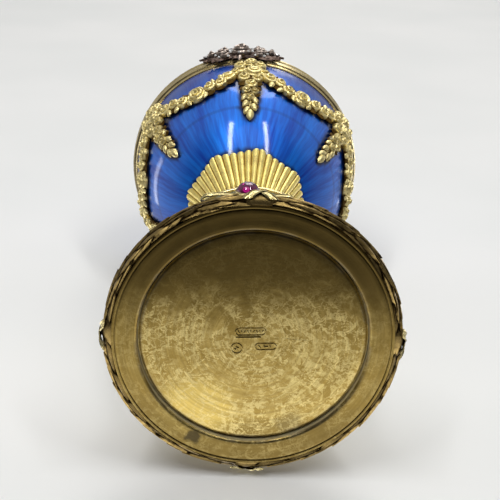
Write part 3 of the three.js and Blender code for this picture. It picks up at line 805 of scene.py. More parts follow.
def tie_strand(azimuth, lean):
    lift = 0.16 if lean > 0 else 0.0

    def place(share, across, h):
        swing = (-50 + 145 * share) * DEGREES
        along = (azimuth + lean * (2 * share - 1) * 4.8) * DEGREES
        return on_garland(along * GARLAND_RING + across, swing * ROUND_MM, h + lift + 0.05)
    return ribbon_strip("tie_strand", place)


BOW_KNOT, BOW_RING, BOW_HEIGHT = 0.5, 25.45, 3.4


def bow_loop(tip, drift, swell):
    """One loop of the bow: out along the outer side and back along the inner one."""
    def place(share, across, h):
        swing = share * 2 * math.pi
        spread = (1 - math.cos(swing)) / 2
        azimuth = (BOW_KNOT + (tip - BOW_KNOT) * (0.04 + 0.96 * spread)) * DEGREES
        parted = 0.2 + swell * 2.2 * spread ** 2 * math.sqrt(max(0.0, 1 - spread))
        ends = min(1.0, 15 * spread) * min(1.0, 3 * math.sqrt(max(0.0, 1 - spread)))
        hand = 1 if share <= 0.5 else -1
        radius = BOW_RING + drift * spread ** 2 + hand * ends * (parted + h - 0.2)
        dip = 0.22 * math.sin(spread * math.pi) + 0.12 * hand
        return polar(radius, azimuth, BOW_HEIGHT - dip + across)
    return ribbon_strip("bow_loop", place, steps=44, width=0.95, looped=True)


def bow_knot():
    clear()
    bpy.ops.mesh.primitive_uv_sphere_add(segments=20, ring_count=12, radius=1.0 * MM)
    piece = added("bow_knot")
    for vertex in piece.data.vertices:
        x, y, z = vertex.co / MM
        crease = 1 - 0.16 * abs(math.sin(4 * x + 0.5))
        vertex.co = polar(BOW_RING + 0.1 + y * -0.6 * crease, (BOW_KNOT + x * 1.9) * DEGREES,
                          BOW_HEIGHT - 0.1 + z * 0.5 * crease)
    return faced_out(piece)


ties = {}
for quarter, side in enumerate(("front", "right", "back", "left")):
    strips = [tie_strand(quarter * 90, 1), tie_strand(quarter * 90, -1)]
    if side == "front":
        strips += [bow_loop(-22.5, 1.05, 0.95), bow_loop(13, 0.3, 0.6), bow_knot()]
    ties[side] = smoothed(joined("ribbon_" + side, strips), 50)
    hollows_marked(ties[side], reach=1.6, others=[garland])
print("ribbons:", sum(len(tie.data.polygons) for tie in ties.values()), "faces")

# %% [markdown]
# ## Collar, rubies and neck
# A polished collar of grey-green stone sits between two gold rims on top of the foot. Four rubies
# are set round it in plain collets. Above it the neck draws in to a knop and carries the cup.

# %% Turn the collar, its rims and the neck
collar = turned("collar_turned", closed([
    (8.5, 22.0), (16.1, 22.0), (16.2, 22.2), (16.05, 24), (15.92, 28), (16.05, 32), (16.2, 33.9),
    (16.1, 34.1), (8.5, 34.1),
]))
rims = {}
for place, low, high in (("lower", 21.0, 22.0), ("upper", 34.1, 34.9)):
    middle, half = (low + high) / 2, (high - low) / 2
    lip = curve_points(8, lambda share: (16.45 + 0.3 * math.sin(share * math.pi),
                                         middle - half * math.cos(share * math.pi)))
    rims[place] = turned("rim_turned_" + place, closed([(9.0, low), *lip, (9.0, high)]))
neck = turned("neck_turned", [
    (0, 34.9), (14.9, 34.9), (15.2, 35.0), (15.25, 35.35), (15.0, 35.7), (14.4, 35.75), (14.2, 36.0),
    (12.6, 36.7), (10.7, 37.4), (9.0, 38.4), (7.7, 39.6), (6.6, 41.2), (5.8, 42.8), (5.3, 44.3),
    (5.2, 44.5), (6.1, 44.7), (6.7, 45.2), (7.0, 46.0), (7.05, 46.8), (6.9, 47.6), (6.3, 48.3), (5.4, 48.6),
    (5.0, 48.8), (4.95, 49.6), (5.1, 51.2), (5.5, 52.8), (5.9, 54.0), (0, 54.0),
], steps=96)
print("neck:", len(neck.data.polygons), "faces")

# %% [markdown]
# A cabochon is a plain polished dome, held by a thin wall of gold pressed over its edge. Both are
# turned flat, once, and then stood on the collar at the four quarters.

# %% Rubies and collets
RUBY_HEIGHT, COLLAR_TURN = 31.6, -4.0


def on_collar(quarter):
    """Stands a piece that was turned upright on the collar's wall, its axis pointing outwards."""
    azimuth = (COLLAR_TURN + quarter * 90) * DEGREES
    turn_out = Matrix.Rotation(azimuth, 4, "Z") @ Matrix.Rotation(math.pi / 2, 4, "X")
    return Matrix.Translation(polar(16.35, azimuth, RUBY_HEIGHT)) @ turn_out


ruby_dome = curve_points(14, lambda share: (2.2 * math.cos(share * math.pi / 2),
                                            0.45 + 1.85 * math.sin(share * math.pi / 2)))
ruby_pattern = turned("pattern_ruby", [(0, 0.12), (2.0, 0.12), (2.18, 0.2), *ruby_dome[:-1], (0, 2.3)], 48)
collet_pattern = turned("pattern_collet", [
    (0, -0.12), (2.3, -0.12), (2.62, 0), (2.65, 0.15), (2.5, 0.5), (2.42, 0.72), (2.3, 0.78), (2.24, 0.7),
    (2.24, 0.1), (0, 0.06),
], 48)
rubies, collets = {}, {}
for quarter, side in enumerate(("front", "right", "back", "left")):
    rubies[side] = smoothed(copied(ruby_pattern, "cabochon_" + side, on_collar(quarter)))
    collets[side] = smoothed(copied(collet_pattern, "setting_" + side, on_collar(quarter)))
print("rubies:", len(rubies))

# %% [markdown]
# Hardstone is never one colour: it has clouds and a few darker threads under a polished skin. The
# ruby is clear, and its colour comes from the light that passes through, so it is glass with a tint.

# %% Stone and ruby
def hardstone(name):
    material, tree, shader, place = new_material(name)
    cloud = between(tree, noise(tree, place, 0.22, 5.0, 0.6, 0.6), 0.3, 0.7)
    thread = between(tree, noise(tree, place, 0.7, 6.0, 0.7, 1.5), 0.56, 0.7)
    base = blended(tree, cloud, colour(118, 136, 124), colour(166, 178, 162))
    base = blended(tree, times(tree, thread, 0.5), base, colour(92, 108, 98))
    tree.links.new(base, shader.inputs["Base Color"])
    tree.links.new(between(tree, cloud, 0.0, 1.0, 0.16, 0.26), shader.inputs["Roughness"])
    shader.inputs["Coat Weight"].default_value = 0.4
    shader.inputs["Coat Roughness"].default_value = 0.08
    bumped(tree, shader, thread, 0.1, 0.03)
    return material


def ruby_glass(name):
    material, tree, shader, place = new_material(name)
    silk = between(tree, noise(tree, place, 0.8, 3.0), 0.3, 0.7)
    tree.links.new(blended(tree, silk, colour(114, 8, 78), colour(142, 16, 98)), shader.inputs["Base Color"])
    shader.inputs["Transmission Weight"].default_value = 0.75
    shader.inputs["IOR"].default_value = 1.76
    tree.links.new(between(tree, silk, 0.0, 1.0, 0.01, 0.04), shader.inputs["Roughness"])
    return material


collar_stone, ruby_red = hardstone("collar_stone"), ruby_glass("ruby_glass")

# %% [markdown]
# ## The fluted cup
# Forty-eight round-ended reeds rise from the neck to the egg and make an eight-sided outline. One
# reed is a drawn-out ball, cut across so that it can bend, and copies follow the wall of the cup.

# %% One reed
clear()
bpy.ops.mesh.primitive_uv_sphere_add(segments=14, ring_count=10, radius=1.0, rotation=(math.pi / 2, 0, 0))
reed = settled(added("pattern_reed"))
ROUND_END = 0.07              # share of the reed's length taken by each rounded end
for vertex in reed.data.vertices:
    middle = 1 - ROUND_END if vertex.co.y > 0 else ROUND_END
    vertex.co.y = middle + vertex.co.y * ROUND_END
hold(reed)
bpy.ops.object.mode_set(mode="EDIT")
for i in range(1, 14):
    bpy.ops.mesh.select_all(action="SELECT")
    bpy.ops.mesh.bisect(plane_co=(0, ROUND_END + (1 - 2 * ROUND_END) * i / 14, 0), plane_no=(0, 1, 0))
bpy.ops.object.mode_set(mode="OBJECT")
faced_out(reed)
print("reed:", len(reed.data.polygons), "faces")

# %% [markdown]
# The wall of the cup is given by its eight-sided outline and a table of how it widens on its way up.
# The reeds are bent to that rule, and a smooth lining behind them closes the gaps.

# %% The cup
CUP_LOW, CUP_CORNER, CUP_TURN, SIDE = 54.0, 13.6, -12.5 * DEGREES, math.pi / 4
GIRDLE, EGG_RADIUS, LOWER_RISE = 100.9, 27.0, 33.7
REEDS = 48


def egg_underside(radius):
    return GIRDLE - LOWER_RISE * math.sqrt(max(0.0, 1 - (radius / EGG_RADIUS) ** 2))


def cup_outline(azimuth):
    """Radius of the eight-sided outline at an azimuth."""
    away = azimuth - CUP_TURN
    return CUP_CORNER * math.cos(SIDE / 2) / math.cos(away - round(away / SIDE) * SIDE)


CUP_WALL = [(0.44, 0.0, 0.0), (0.50, 0.0, 0.17), (0.60, 0.3, 0.36), (0.71, 0.55, 0.55),
            (0.83, 0.8, 0.74), (0.93, 0.95, 0.89), (0.985, 1.0, 0.97), (1.0, 1.0, 1.0)]


def cup_wall(azimuth, share):
    """Radius and height of the cup's wall, the share running from the neck to the outline."""
    edge = cup_outline(azimuth)
    top = egg_underside(edge) - 0.9
    place = share * (len(CUP_WALL) - 1)
    i = min(int(place), len(CUP_WALL) - 2)
    part = place - i
    low, high = CUP_WALL[i], CUP_WALL[i + 1]
    width, angular, rise = (low[k] + (high[k] - low[k]) * part for k in range(3))
    outline_here = edge * angular + CUP_CORNER * 0.96 * (1 - angular)
    return outline_here * width, CUP_LOW + (top - CUP_LOW) * rise


def cup_normal(azimuth, share):
    """The way out of the wall, as (radial, upright)."""
    r0, z0 = cup_wall(azimuth, max(0.0, share - 0.04))
    r1, z1 = cup_wall(azimuth, min(1.0, share + 0.04))
    run, rise = r1 - r0, z1 - z0
    length = math.hypot(run, rise) or 1.0
    return rise / length, -run / length


REED_START = 0.3              # the wall below this is plain


def reed_place(centre):
    def place(x, y, h):
        x, y, h = x * MM, y * MM, h * MM
        share = REED_START + (1 - REED_START) * min(1.0, max(0.0, y))
        azimuth = centre + x * 0.99 * math.pi / REEDS
        radius, height = cup_wall(azimuth, share)
        out_r, out_z = cup_normal(centre, share)
        relief = h * (0.34 + 0.42 * share)
        return polar(radius + relief * out_r, azimuth, height + relief * out_z)
    return place


def cup_core():
    """A smooth lining behind the reeds, closed against the egg."""
    clear()
    profile = [(0, 54.0), *((5.0 + i, 54.0 + 2 * i) for i in range(5)), (11, 65), (12, 69.5),
               (12, 70.2), (6, 66.9), (0, 66.7)]
    piece = turned("cup_core", profile, 96)
    for vertex in piece.data.vertices:
        radius = vertex.co.xy.length / MM
        azimuth = math.atan2(vertex.co.x, -vertex.co.y)
        height = vertex.co.z / MM
        if radius > 3 and height < 69.9:
            share = min(1.0, max(0.0, (height - 54) / 15.5))
            wall_radius, wall_height = cup_wall(azimuth, share * 0.97)
            vertex.co = polar(wall_radius - 0.12, azimuth, wall_height)
        elif radius > 9:
            edge = cup_outline(azimuth) - 0.9
            vertex.co = polar(edge, azimuth, egg_underside(edge) - 0.25)
    return piece


reeds = [copied(reed, "reed", Matrix.Identity(4)) for _ in range(REEDS)]
for i, piece in enumerate(reeds):
    centre = CUP_TURN + (i + 0.5) * 2 * math.pi / REEDS
    wrapped(piece, reed_place(centre))
cup = smoothed(joined("fluted_cup", [*reeds, cup_core()]), 60)
hollows_marked(cup, reach=1.4)
print("cup:", len(cup.data.polygons), "faces")

# %% [markdown]
# ## The egg
# Two thin half shells, open where they meet. The section runs along the outside from the pole to the
# open edge and back along the inside, so that the wall has its thickness and the egg is empty.

# %% Turn the two halves
WALL, UPPER_RISE, TAPER = 1.4, 38.0, 0.05


def egg_section(rise, sign, low, taper, steps):
    """Outer skin from the pole to the open edge, low away from the girdle, and inner skin back."""
    def skin(inset):
        start = math.asin(low / rise)

        def place(share):
            swing = start + (math.pi / 2 - start) * share
            narrow = 1 - taper * math.sin(swing)
            radius = EGG_RADIUS * math.cos(swing) * narrow * (1 - inset / EGG_RADIUS)
            return (max(0.0, radius), GIRDLE + sign * rise * math.sin(swing) * (1 - inset / rise))

        points = curve_points(steps, place)
        points[0] = (points[0][0], GIRDLE + sign * low)
        points[-1] = (0.0, points[-1][1])
        return points
    return skin(0)[::-1] + skin(WALL)


bowl = turned("egg_lower_half", egg_section(LOWER_RISE, -1, 3.7, 0.0, 40))
lid = turned("egg_upper_half", egg_section(UPPER_RISE, 1, 2.8, TAPER, 40))
print("half shell:", len(bowl.data.polygons), "faces")

# %% [markdown]
# Enamel over engraved rays: the metal below is cut in fine waving lines that run from pole to
# girdle, and the blue glass over them is deeper where the cuts are. The rays are read from the
# angle round the egg, and a clear coat gives the wet shine. Painted shadow makes it darkest beside
# the gold ornament, painted shade darkens it towards the girdle, and a thin dark line runs round it
# between the cup and the swags.

# %% Blue enamel
def blue_enamel(name):
    material, tree, shader, place = new_material(name)
    x, y, z = put(tree, "SeparateXYZ", {0: place}).outputs
    angle = sums(tree, "ARCTAN2", x, y)
    ripple = times(tree, sums(tree, "SINE", times(tree, z, 0.9)), 0.006)
    angle = plus(tree, angle, ripple)
    around_x, around_y = sums(tree, "COSINE", angle), sums(tree, "SINE", angle)

    def rays(stretch, scale, low, high):
        """Noise drawn out from pole to girdle."""
        spot = put(tree, "CombineXYZ", {0: around_x, 1: around_y, 2: times(tree, z, stretch)}).outputs[0]
        return between(tree, noise(tree, spot, scale, 3.0, 0.6), low, high)

    broad = rays(0.008, 5.0, 0.34, 0.66)
    fine = rays(0.006, 26.0, 0.3, 0.7)
    flame = plus(tree, times(tree, broad, 0.5), times(tree, fine, 0.5))
    base = blended(tree, flame, colour(8, 66, 182), colour(26, 132, 250))
    line = sums(tree, "ABSOLUTE", minus(tree, z, 79.6))
    base = blended(tree, between(tree, line, 0.1, 0.6, 0.28, 0.0), base, colour(4, 24, 100))
    # painted shade: the bowl darkens from the swags up towards the girdle
    painted_shade_by_girdle = between(tree, z, 82.0, 96.0, 0.0, 0.7)
    base = blended(tree, painted_shade_by_girdle, base, colour(4, 36, 124))
    # painted shadow of the ornament: the enamel goes dark navy where swags, pendants and cup shut it in
    under = between(tree, attribute(tree, "hollow"), 0.04, 0.4, 0.0, 0.9)
    base = blended(tree, under, base, colour(2, 14, 58))
    tree.links.new(base, shader.inputs["Base Color"])
    tree.links.new(between(tree, flame, 0.0, 1.0, 0.5, 0.38), shader.inputs["Roughness"])
    shader.inputs["Metallic"].default_value = 0.4
    shader.inputs["Specular IOR Level"].default_value = 0.2
    shader.inputs["Coat Weight"].default_value = 1.0
    shader.inputs["Coat Roughness"].default_value = 0.1
    shader.inputs["Coat IOR"].default_value = 1.45
    bumped(tree, shader, flame, 0.06, 0.1)
    return material


enamel = blue_enamel("blue_enamel")

# %% [markdown]
# ## The bezels
# Each half ends in a gold bezel with a rounded band and a fine step. The lid's has a flange that
# drops inside the other, so that the lid lifts off and finds its place again.

# %% Turn the bezels
bowl_bezel = turned("bezel_lower", closed([
    (25.5, 97.3), (26.6, 97.3), (27.05, 97.4), (27.3, 97.75), (27.35, 98.15), (27.7, 98.3), (27.95, 98.8),
    (28.0, 99.4), (27.9, 99.95), (27.62, 100.3), (27.5, 100.45), (27.45, 100.75), (25.5, 100.75),
]), steps=192)
lid_bezel = turned("bezel_upper", closed([
    (24.6, 98.85), (25.1, 98.85), (25.2, 98.95), (25.2, 101.05), (27.45, 101.05), (27.55, 101.3),
    (27.85, 101.55), (28.0, 102.0), (27.85, 102.5), (27.5, 102.85), (27.3, 103.0), (27.1, 103.4),
    (26.8, 103.6), (24.6, 103.6),
]), steps=192)
print("bezel:", len(bowl_bezel.data.polygons), "faces")

# %% [markdown]
# ## Rose swags and pendants
# Six swags hang between six pendants. Each is a rope of roses, buds and leaves on a thin spine, the
# largest rose at the middle of the swag and near the top of the pendant. One swag and one pendant
# are laid out flat, wrapped onto the egg, and turned round to the other five places.

# %% Places on the bowl
def on_bowl(azimuth, height):
    """x runs round, y up the skin and h off it, from a point on the bowl."""
    swing = math.asin((GIRDLE - height) / LOWER_RISE)

    def place(x, y, h):
        per_radian = math.hypot(EGG_RADIUS * math.sin(swing), LOWER_RISE * math.cos(swing))
        low = swing - y / per_radian
        radius = EGG_RADIUS * math.cos(low)
        normal = Vector((math.cos(low) / EGG_RADIUS, -math.sin(low) / LOWER_RISE)).normalized()
        return polar(radius + h * normal.x, azimuth + x / max(radius, 1.0),
                     GIRDLE - LOWER_RISE * math.sin(low) + h * normal.y)
    return place


SWAG_LOW, SWAG_RISE, SWAG_SPAN, SWAG_HALF = 86.2, 4.3, 23 * DEGREES, 10.4


def on_swag(middle):
    """x runs along the swag from its middle, y across it towards the girdle."""
    def place(x, y, h):
        share = max(-1.0, min(1.0, x / SWAG_HALF))
        over = x - share * SWAG_HALF
        height = SWAG_LOW + SWAG_RISE * abs(share) ** 2.3
        slope = math.copysign(SWAG_RISE * 2.3 * abs(share) ** 1.3, share)
        run = Vector((EGG_RADIUS * SWAG_SPAN, slope)).normalized()
        base = on_bowl(middle + share * SWAG_SPAN, height)
        return base(run.x * over - run.y * y, run.y * over + run.x * y, h)
    return place


# %% [markdown]
# A florist's rule serves here: large flowers first, at fixed places, then leaves and buds to fill
# between them. The leaves lean at chance angles from a seeded source, so each run is the same.

# %% Swag and pendant
def spine(name, length, width, height):
    """A half-round rope that ties the flowers together."""
    clear()
    bpy.ops.mesh.primitive_uv_sphere_add(segments=16, ring_count=24, radius=1.0, rotation=(0, math.pi / 2, 0))
    piece = settled(added(name))
    for vertex in piece.data.vertices:
        full = max(0.0, 1 - abs(vertex.co.x) ** 6) ** 0.5
        thin = math.sqrt(max(1e-9, 1 - vertex.co.x ** 2))
        vertex.co = Vector((vertex.co.x * length / 2, vertex.co.y / thin * full * width / 2,
                            max(vertex.co.z / thin * full, -0.3) * height)) * MM
    return faced_out(piece)


def swag_parts(chance):
    for x, y, size in ((0, 0, 2.6), (3.7, 0.3, 1.6), (-3.8, -0.3, 1.7), (6.3, -0.4, 1.5), (-6.4, 0.4, 1.5),
                       (8.6, 0.3, 1.75), (-8.7, -0.2, 1.75), (10.3, 0.2, 1.2), (-10.3, 0.2, 1.2)):
        yield (rose if size > 1.9 else small_rose, x, y, 0.5, chance.uniform(0, 360), (size, size, 1.45))
    for x in (-9.8, -7.5, -5.2, -2.6, 2.5, 5.1, 7.4, 9.7):
        for side in (1, -1):
            angle = (58 if x > 0 else 122) * side + chance.uniform(-16, 16)
            reach = 2.5 * (1.08 - 0.03 * abs(x))
            yield (rose_leaf, x + chance.uniform(-0.3, 0.3), side * 0.3, 0.45, angle, (reach, 2.1, 1.7))
    for x in (-7.4, -5.0, -2.4, 2.4, 5.0, 7.5):
        side = 1 if chance.random() > 0.5 else -1
        angle = 90 * side + chance.uniform(-30, 30)
        yield (bud, x, side * 0.9, 0.8, angle, (2.0, 1.4, 1.2))


def pendant_parts(chance):
    """x runs down the pendant from its top."""
    for x, y, size in ((1.0, 0.3, 2.0), (2.3, 2.4, 1.5), (2.5, -2.3, 1.5), (5.6, 0.9, 2.5), (5.0, -2.2, 1.6),
                       (8.6, -1.4, 1.6), (9.0, 1.6, 1.35), (11.4, 0.2, 1.6), (13.8, -0.8, 1.2),
                       (14.2, 1.0, 1.1), (16.2, 0.0, 1.2)):
        yield (rose if size > 1.9 else small_rose, x, y, 0.5, chance.uniform(0, 360), (size, size, 1.45))
    for i in range(9):
        x = 1.2 + 2.15 * i
        for side in (1, -1):
            reach = 2.9 * (1 - 0.045 * i)
            angle = side * (44 + chance.uniform(-12, 12))
            yield (rose_leaf, x, side * (1.5 - 0.13 * i), 0.4, angle, (reach, 1.9, 1.7))
    for i in range(5):
        side = 1 if i % 2 else -1
        yield (bud, 14.9 + 1.1 * i, side * (0.8 - 0.12 * i), 0.6, side * 22, (2.5, 1.8, 1.5))
    yield (bud, 20.0, 0.0, 0.5, 0, (3.4, 2.1, 1.7))


def pendant_spine():
    piece = spine("pendant_spine", 20.5, 2.5, 0.8)
    for vertex in piece.data.vertices:
        vertex.co.x += 10.4 * MM
        vertex.co.y *= 1.1 - vertex.co.x / (26 * MM)
    return piece


swag_flat = joined("swag_flat", [laid_out("swag_parts", list(swag_parts(random.Random(4)))),
                                 spine("swag_spine", 21.5, 2.3, 0.8)])
pendant_flat = joined("pendant_flat", [laid_out("pendant_parts", list(pendant_parts(random.Random(9)))),
                                       pendant_spine()])
PENDANT_TOP = 96.6
wrapped(swag_flat, on_swag(30 * DEGREES))


def on_pendant(x, y, h):
    """x down the pendant becomes y down the bowl."""
    return on_bowl(0.0, PENDANT_TOP)(y, -x, h)


wrapped(pendant_flat, on_pendant)
for piece in (swag_flat, pendant_flat):
    smoothed(piece, 50)
    hollows_marked(piece, reach=1.1, others=[bowl])
swags, pendants = [], []
for i in range(6):
    to_place = Matrix.Rotation(i * 60 * DEGREES, 4, "Z")
    swags.append(copied(swag_flat, f"rose_swag_{i + 1}", to_place))
    pendants.append(copied(pendant_flat, f"rose_pendant_{i + 1}", to_place))
# on the bowl this share is painted shadow: the enamel reads it to darken beside the ornament
hollows_marked(bowl, reach=2.0, count=12, others=[*swags, *pendants, cup])
print("swag:", len(swag_flat.data.polygons), "faces; pendant:", len(pendant_flat.data.polygons))

# %% [markdown]
# ## The silver spray
# Over the front of the bezels lies a spray of oxidised silver: a rose in full bloom with leaves to
# both sides, set with small rose-cut diamonds. It is laid out flat and wrapped round the bezels.

# %% Spray
SPRAY_TURN, SPRAY_INNER = -4 * DEGREES, 28.3


def on_bezels(x, y, h):
    return polar(SPRAY_INNER + 0.2 + h - 0.022 * y * y, SPRAY_TURN + x / SPRAY_INNER, GIRDLE + 0.4 + y)


def spray_parts():
    yield (rose, 0, 0, 0.35, 20, (2.6, 2.6, 2.1))
    for hand in (1, -1):
        flip = 0 if hand > 0 else 180
        for start, lean, length, width in ((2.4, 0, 8.0, 3.4), (1.9, 30, 6.6, 3.2), (1.9, -30, 6.6, 3.2),
                                           (3.2, 15, 6.6, 2.6), (3.2, -15, 6.6, 2.6), (0.8, 62, 4.2, 2.6),
                                           (0.8, -62, 4.2, 2.6)):
            turn_by = (flip + lean * hand) * DEGREES
            x, y = start * math.cos(turn_by), start * math.sin(turn_by)
            yield (spray_leaf, x, y, 0.1, flip + lean * hand, (length, width, 2.2))
        for x, y, size in ((4.9, 0.2, 1.5), (4.0, 2.3, 1.1), (4.0, -2.3, 1.1), (7.2, 0.5, 1.0)):
            yield (small_rose, x * hand, y, 0.4, 30 * hand, (size, size, 1.3))
    yield (bud, -0.4, -3.0, 0.5, -95, (2.6, 1.3, 1.0))


def stone_places():
    for hand in (1, -1):
        for x, y, h in ((4.9, 0.2, 1.45), (4.0, 2.3, 1.4), (4.0, -2.3, 1.4),
                        (7.2, 0.5, 1.35), (6.0, 1.5, 0.9),
                        (6.2, -1.4, 0.9), (8.6, 0.0, 0.9), (3.2, 3.6, 0.9), (3.2, -3.5, 0.9), (2.6, 1.6, 1.1),
                        (2.6, -1.6, 1.1), (5.4, 3.0, 0.8), (5.4, -3.0, 0.8)):
            yield (x * hand, y, h)
    for i in range(7):
        swing = i * 2 * math.pi / 7
        yield (2.5 * math.cos(swing), 2.5 * math.sin(swing), 1.25)


spray = wrapped(laid_out("spray_silverwork", list(spray_parts())), on_bezels)
hollows_marked(smoothed(spray, 50), reach=1.2, others=[bowl_bezel, lid_bezel])
clear()
bpy.ops.mesh.primitive_cone_add(vertices=8, radius1=0.36 * MM, radius2=0.2 * MM, depth=0.26 * MM)
diamond = added("pattern_diamond")
stones = wrapped(laid_out("spray_diamonds", [(diamond, x, y, h, 0, (1, 1, 1)) for x, y, h in stone_places()]),
                 on_bezels)
print("spray:", len(spray.data.polygons), "faces")

# %% [markdown]
# Silver blackens in its hollows and greys elsewhere, as the gilding does but colder, so the same
# tarnish group is used with other colours. Small old stones sparkle more than they show through.

# %% Oxidised silver and diamond
def oxidised_silver(name):
    material, tree, shader, place = new_material(name)
    aged = use_group(tree, tarnish, {"Place": place, "Hollow": attribute(tree, "hollow"),
                                     "Bright": colour(186, 172, 160), "Dark": colour(72, 58, 50),
                                     "Low": 0.15, "High": 0.55})
    cloud = between(tree, noise(tree, place, 0.6, 4.0), 0.3, 0.7)
    base = blended(tree, times(tree, cloud, 0.4), aged.outputs["Color"], colour(128, 108, 98))
    tree.links.new(base, shader.inputs["Base Color"])
    tree.links.new(between(tree, cloud, 0.0, 1.0, 0.28, 0.45), shader.inputs["Roughness"])
    shader.inputs["Metallic"].default_value = 1.0
    bumped(tree, shader, noise(tree, place, 5.0, 3.0), 0.3, 0.05)
    return material


def diamond_glass(name):
    material, tree, shader, place = new_material(name)
    tint = blended(tree, noise(tree, place, 0.5), colour(238, 238, 232), colour(252, 252, 250))
    tree.links.new(tint, shader.inputs["Base Color"])
    tree.links.new(between(tree, noise(tree, place, 2.0), 0.3, 0.7, 0.0, 0.05), shader.inputs["Roughness"])
    shader.inputs["Transmission Weight"].default_value = 0.35
    shader.inputs["IOR"].default_value = 2.2
    shader.inputs["Specular IOR Level"].default_value = 0.9
    return material


silver, diamond_clear = oxidised_silver("oxidised_silver"), diamond_glass("diamond")

# %% [markdown]
# ## Handing each piece its place
# Every piece rides on the object's one body and takes its finish. All but the diamonds,
# which have no solid of their own, stand for a solid.

# %% Ride, replace, finish
def given(piece, material, slot, *nodes):
    hold(piece)
    piece.data.materials.clear()
    piece.data.materials.append(material)
    if piece.data.attributes.get("hollow") is None:
        piece.data.attributes.new("hollow", "FLOAT", "POINT")
    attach(piece, "root")
    if nodes:
        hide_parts(*nodes)


given(foot, foot_gilt, "foot_gilt", "foot")
given(plate, foot_gilt, "plate_gilt", "base_plate")
given(garland, shaded_leaf_gold, "garland_gilt", "laurel_garland")
for side in ("front", "right", "back", "left"):
    given(ties[side], ribbon_gold, "ribbon_gold", "ribbon_tie_" + side)
    given(rubies[side], ruby_red, "ruby", "ruby_" + side)
    given(collets[side], rim_gold, "rim_gold", "collet_" + side)
given(rims["lower"], rim_gold, "rim_gold", "collar_rim_lower")
given(rims["upper"], rim_gold, "rim_gold", "collar_rim_upper")
given(collar, collar_stone, "collar_stone", "stone_collar")
given(neck, neck_gold, "neck_gilt", "neck")
given(cup, reed_gold, "calyx_gold", "calyx")
given(bowl, enamel, "blue_enamel", "egg_bowl")
given(lid, enamel, "blue_enamel", "egg_lid")
given(bowl_bezel, bezel_gold, "bezel_gold", "bowl_bezel")
given(lid_bezel, bezel_gold, "bezel_gold", "lid_bezel")
for i in range(6):
    given(swags[i], rose_gold, "rose_gold", f"swag_{i + 1}")
    given(pendants[i], rose_gold, "rose_gold", f"pendant_{i + 1}")
given(spray, silver, "oxidised_silver", "silver_spray")
given(stones, diamond_clear, "oxidised_silver")
for pattern in [o for o in bpy.data.objects if o.name.startswith("pattern_")] + [swag_flat, pendant_flat]:
    bpy.data.objects.remove(pattern)
print("finishes:", len(bpy.data.materials))

# %% [markdown]
# ## Floor and light
# The egg lies back on one pale surface and would stand on another, so there are two. Each shows its
# front alone, and neither takes part in lighting the object, so that no side of it is in the dark.

# %% Floors
def floor_material(name):
    material, tree, shader, place = new_material(name)
    cloud = between(tree, noise(tree, place, 0.01, 2.0), 0.3, 0.7)
    tone = blended(tree, cloud, colour(230, 231, 229), colour(236, 236, 234))
    tree.links.new(tone, shader.inputs["Base Color"])
    shader.inputs["Roughness"].default_value = 0.9
    shader.inputs["Specular IOR Level"].default_value = 0.1
    clear_back = put(tree, "BsdfTransparent").outputs[0]
    side = put(tree, "NewGeometry").outputs["Backfacing"]
    mixed = put(tree, "MixShader", {0: side, 1: shader.outputs[0], 2: clear_back}).outputs[0]
    tree.links.new(mixed, tree.nodes["Material Output"].inputs["Surface"])
    return material


pale = floor_material("pale_surface")
# the lying surface clears the bezels, which are 28 out, and the back pendant sinks 0.4 into it
BEHIND = 28.2


def surface(name, location, rotation):
    clear()
    bpy.ops.mesh.primitive_plane_add(size=6.0, location=location, rotation=rotation)
    piece = added(name)
    piece.data.materials.append(pale)
    piece.visible_diffuse = piece.visible_glossy = piece.visible_transmission = False
    piece.visible_shadow = False


surface("lying_surface", (0, BEHIND * MM, 0), (math.pi / 2, 0, 0))
surface("standing_floor", (0, 0, -0.05 * MM), (0, 0, 0))

# %% [markdown]
# Large soft boxes give broad light, and narrow ones give the long highlights of windows in the
# enamel. Polished metal shows what is round it, so the sky is painted too: dark low in front, pale
# above, with one round lamp. Weak lamps stand for the light that a pale table throws back.

# %% Lights
def soft_box(name, place, turn, power, **shape):
    """An area lamp that the camera doesn't see. Shape gives its outline, sizes and colour."""
    clear()
    bpy.ops.object.light_add(type="AREA", location=place)
    light = added(name)
    light.rotation_euler = turn
    light.data.energy = power
    for setting, value in shape.items():
        setattr(light.data, setting, value)
    light.visible_camera = False


def lamp(name, direction, distance, size, power, tint=(1, 1, 1)):
    """A round soft box that shines at the neck from a direction."""
    target = Vector((0, 0, 0.05))
    place = target + Vector(direction).normalized() * distance
    turn = (place - target).to_track_quat("Z", "Y").to_euler()
    soft_box(name, place, turn, power, color=tint, shape="DISK", size=size)


lamp("key", (0.12, -1.0, 0.85), 0.9, 0.6, 3.2, (1.0, 0.99, 0.97))
lamp("low_front", (0.0, -0.95, -0.4), 0.8, 0.4, 0.3)
lamp("behind", (-0.5, 1.0, 0.35), 0.8, 0.6, 1.8)


def strip_lamp(name, ends, distance, width, power):
    """A long narrow soft box between two directions, as seen from the lower part of the egg."""
    heart = Vector((0, -0.015, 0.073))
    first, last = (heart + Vector(end).normalized() * distance for end in ends)
    middle = (first + last) / 2
    back = (middle - heart).normalized()
    tall = (last - first).normalized()
    wide = tall.cross(back).normalized()
    turn = Matrix((wide, back.cross(wide), back)).transposed().to_euler()
    soft_box(name, middle, turn, power, shape="RECTANGLE", size=width, size_y=(last - first).length)


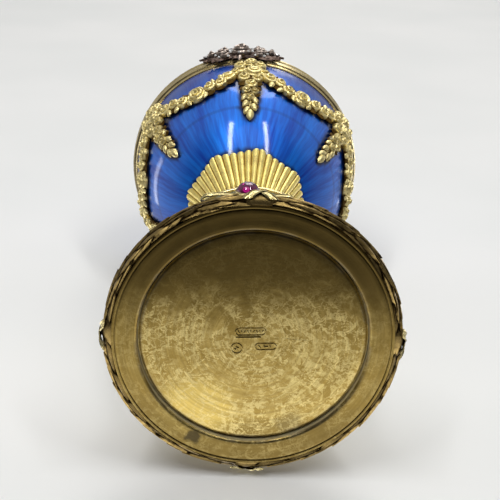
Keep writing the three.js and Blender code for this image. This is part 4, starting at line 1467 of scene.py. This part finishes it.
strip_lamp("window_left", ((-0.275, -0.956, -0.106), (-0.341, -0.687, -0.642)), 0.6, 0.042, 1.0)
strip_lamp("window_right", ((0.279, -0.957, -0.084), (0.384, -0.696, -0.607)), 0.6, 0.035, 0.9)
strip_lamp("side_left", ((-0.934, -0.016, 0.358), (-0.729, 0.471, 0.496)), 0.7, 0.05, 0.22)
strip_lamp("side_right", ((0.754, -0.097, 0.649), (0.622, 0.406, 0.67)), 0.7, 0.06, 0.5)


def table_glow(name, near_end, far_end, power):
    """Light that the pale table throws back under the foot."""
    place = (0, 27.9 * MM, -(near_end + far_end) / 2 * MM)
    length = (far_end - near_end) * MM
    soft_box(name, place, (-math.pi / 2, 0, 0), power, shape="RECTANGLE", size=0.17, size_y=length)


table_glow("table_near", 3, 40, 0.03)
table_glow("table_far", 40, 95, 0.018)

world = bpy.context.scene.world or bpy.data.worlds.new("studio")
bpy.context.scene.world = world
world.use_nodes = True
sky = world.node_tree
sky.nodes.clear()
direction = put(sky, "TexCoord").outputs["Generated"]
across, forward, height = put(sky, "SeparateXYZ", {0: direction}).outputs
# dark low in front, pale low behind where the table is, and a wide pale ceiling
low_front = times(sky, between(sky, height, -0.35, 0.1, 1.0, 0.0), between(sky, forward, 0.25, 0.6, 1.0, 0.0))
glow = blended(sky, low_front, (0.62, 0.62, 0.62, 1), (0.06, 0.06, 0.07, 1))
glow = blended(sky, between(sky, height, -0.1, 0.9), glow, (0.5, 0.5, 0.52, 1))
# a round lamp with a dark middle, high in front
to_lamp = put(sky, "VectorMath", {0: direction, 1: Vector((0.04, -0.32, 0.95)).normalized()},
              operation="DOT_PRODUCT").outputs["Value"]
ring = times(sky, between(sky, to_lamp, 0.955, 0.965), between(sky, to_lamp, 0.985, 0.992, 1.0, 0.0))
glow = blended(sky, ring, glow, (1.7, 1.7, 1.7, 1))
seen = put(sky, "LightPath").outputs["Is Camera Ray"]
glow = blended(sky, seen, glow, (0.72, 0.73, 0.72, 1))
back = put(sky, "Background", {"Color": glow, "Strength": 0.8}).outputs[0]
sky.links.new(back, put(sky, "OutputWorld").inputs["Surface"])
bpy.context.scene.view_settings.view_transform = "Standard"
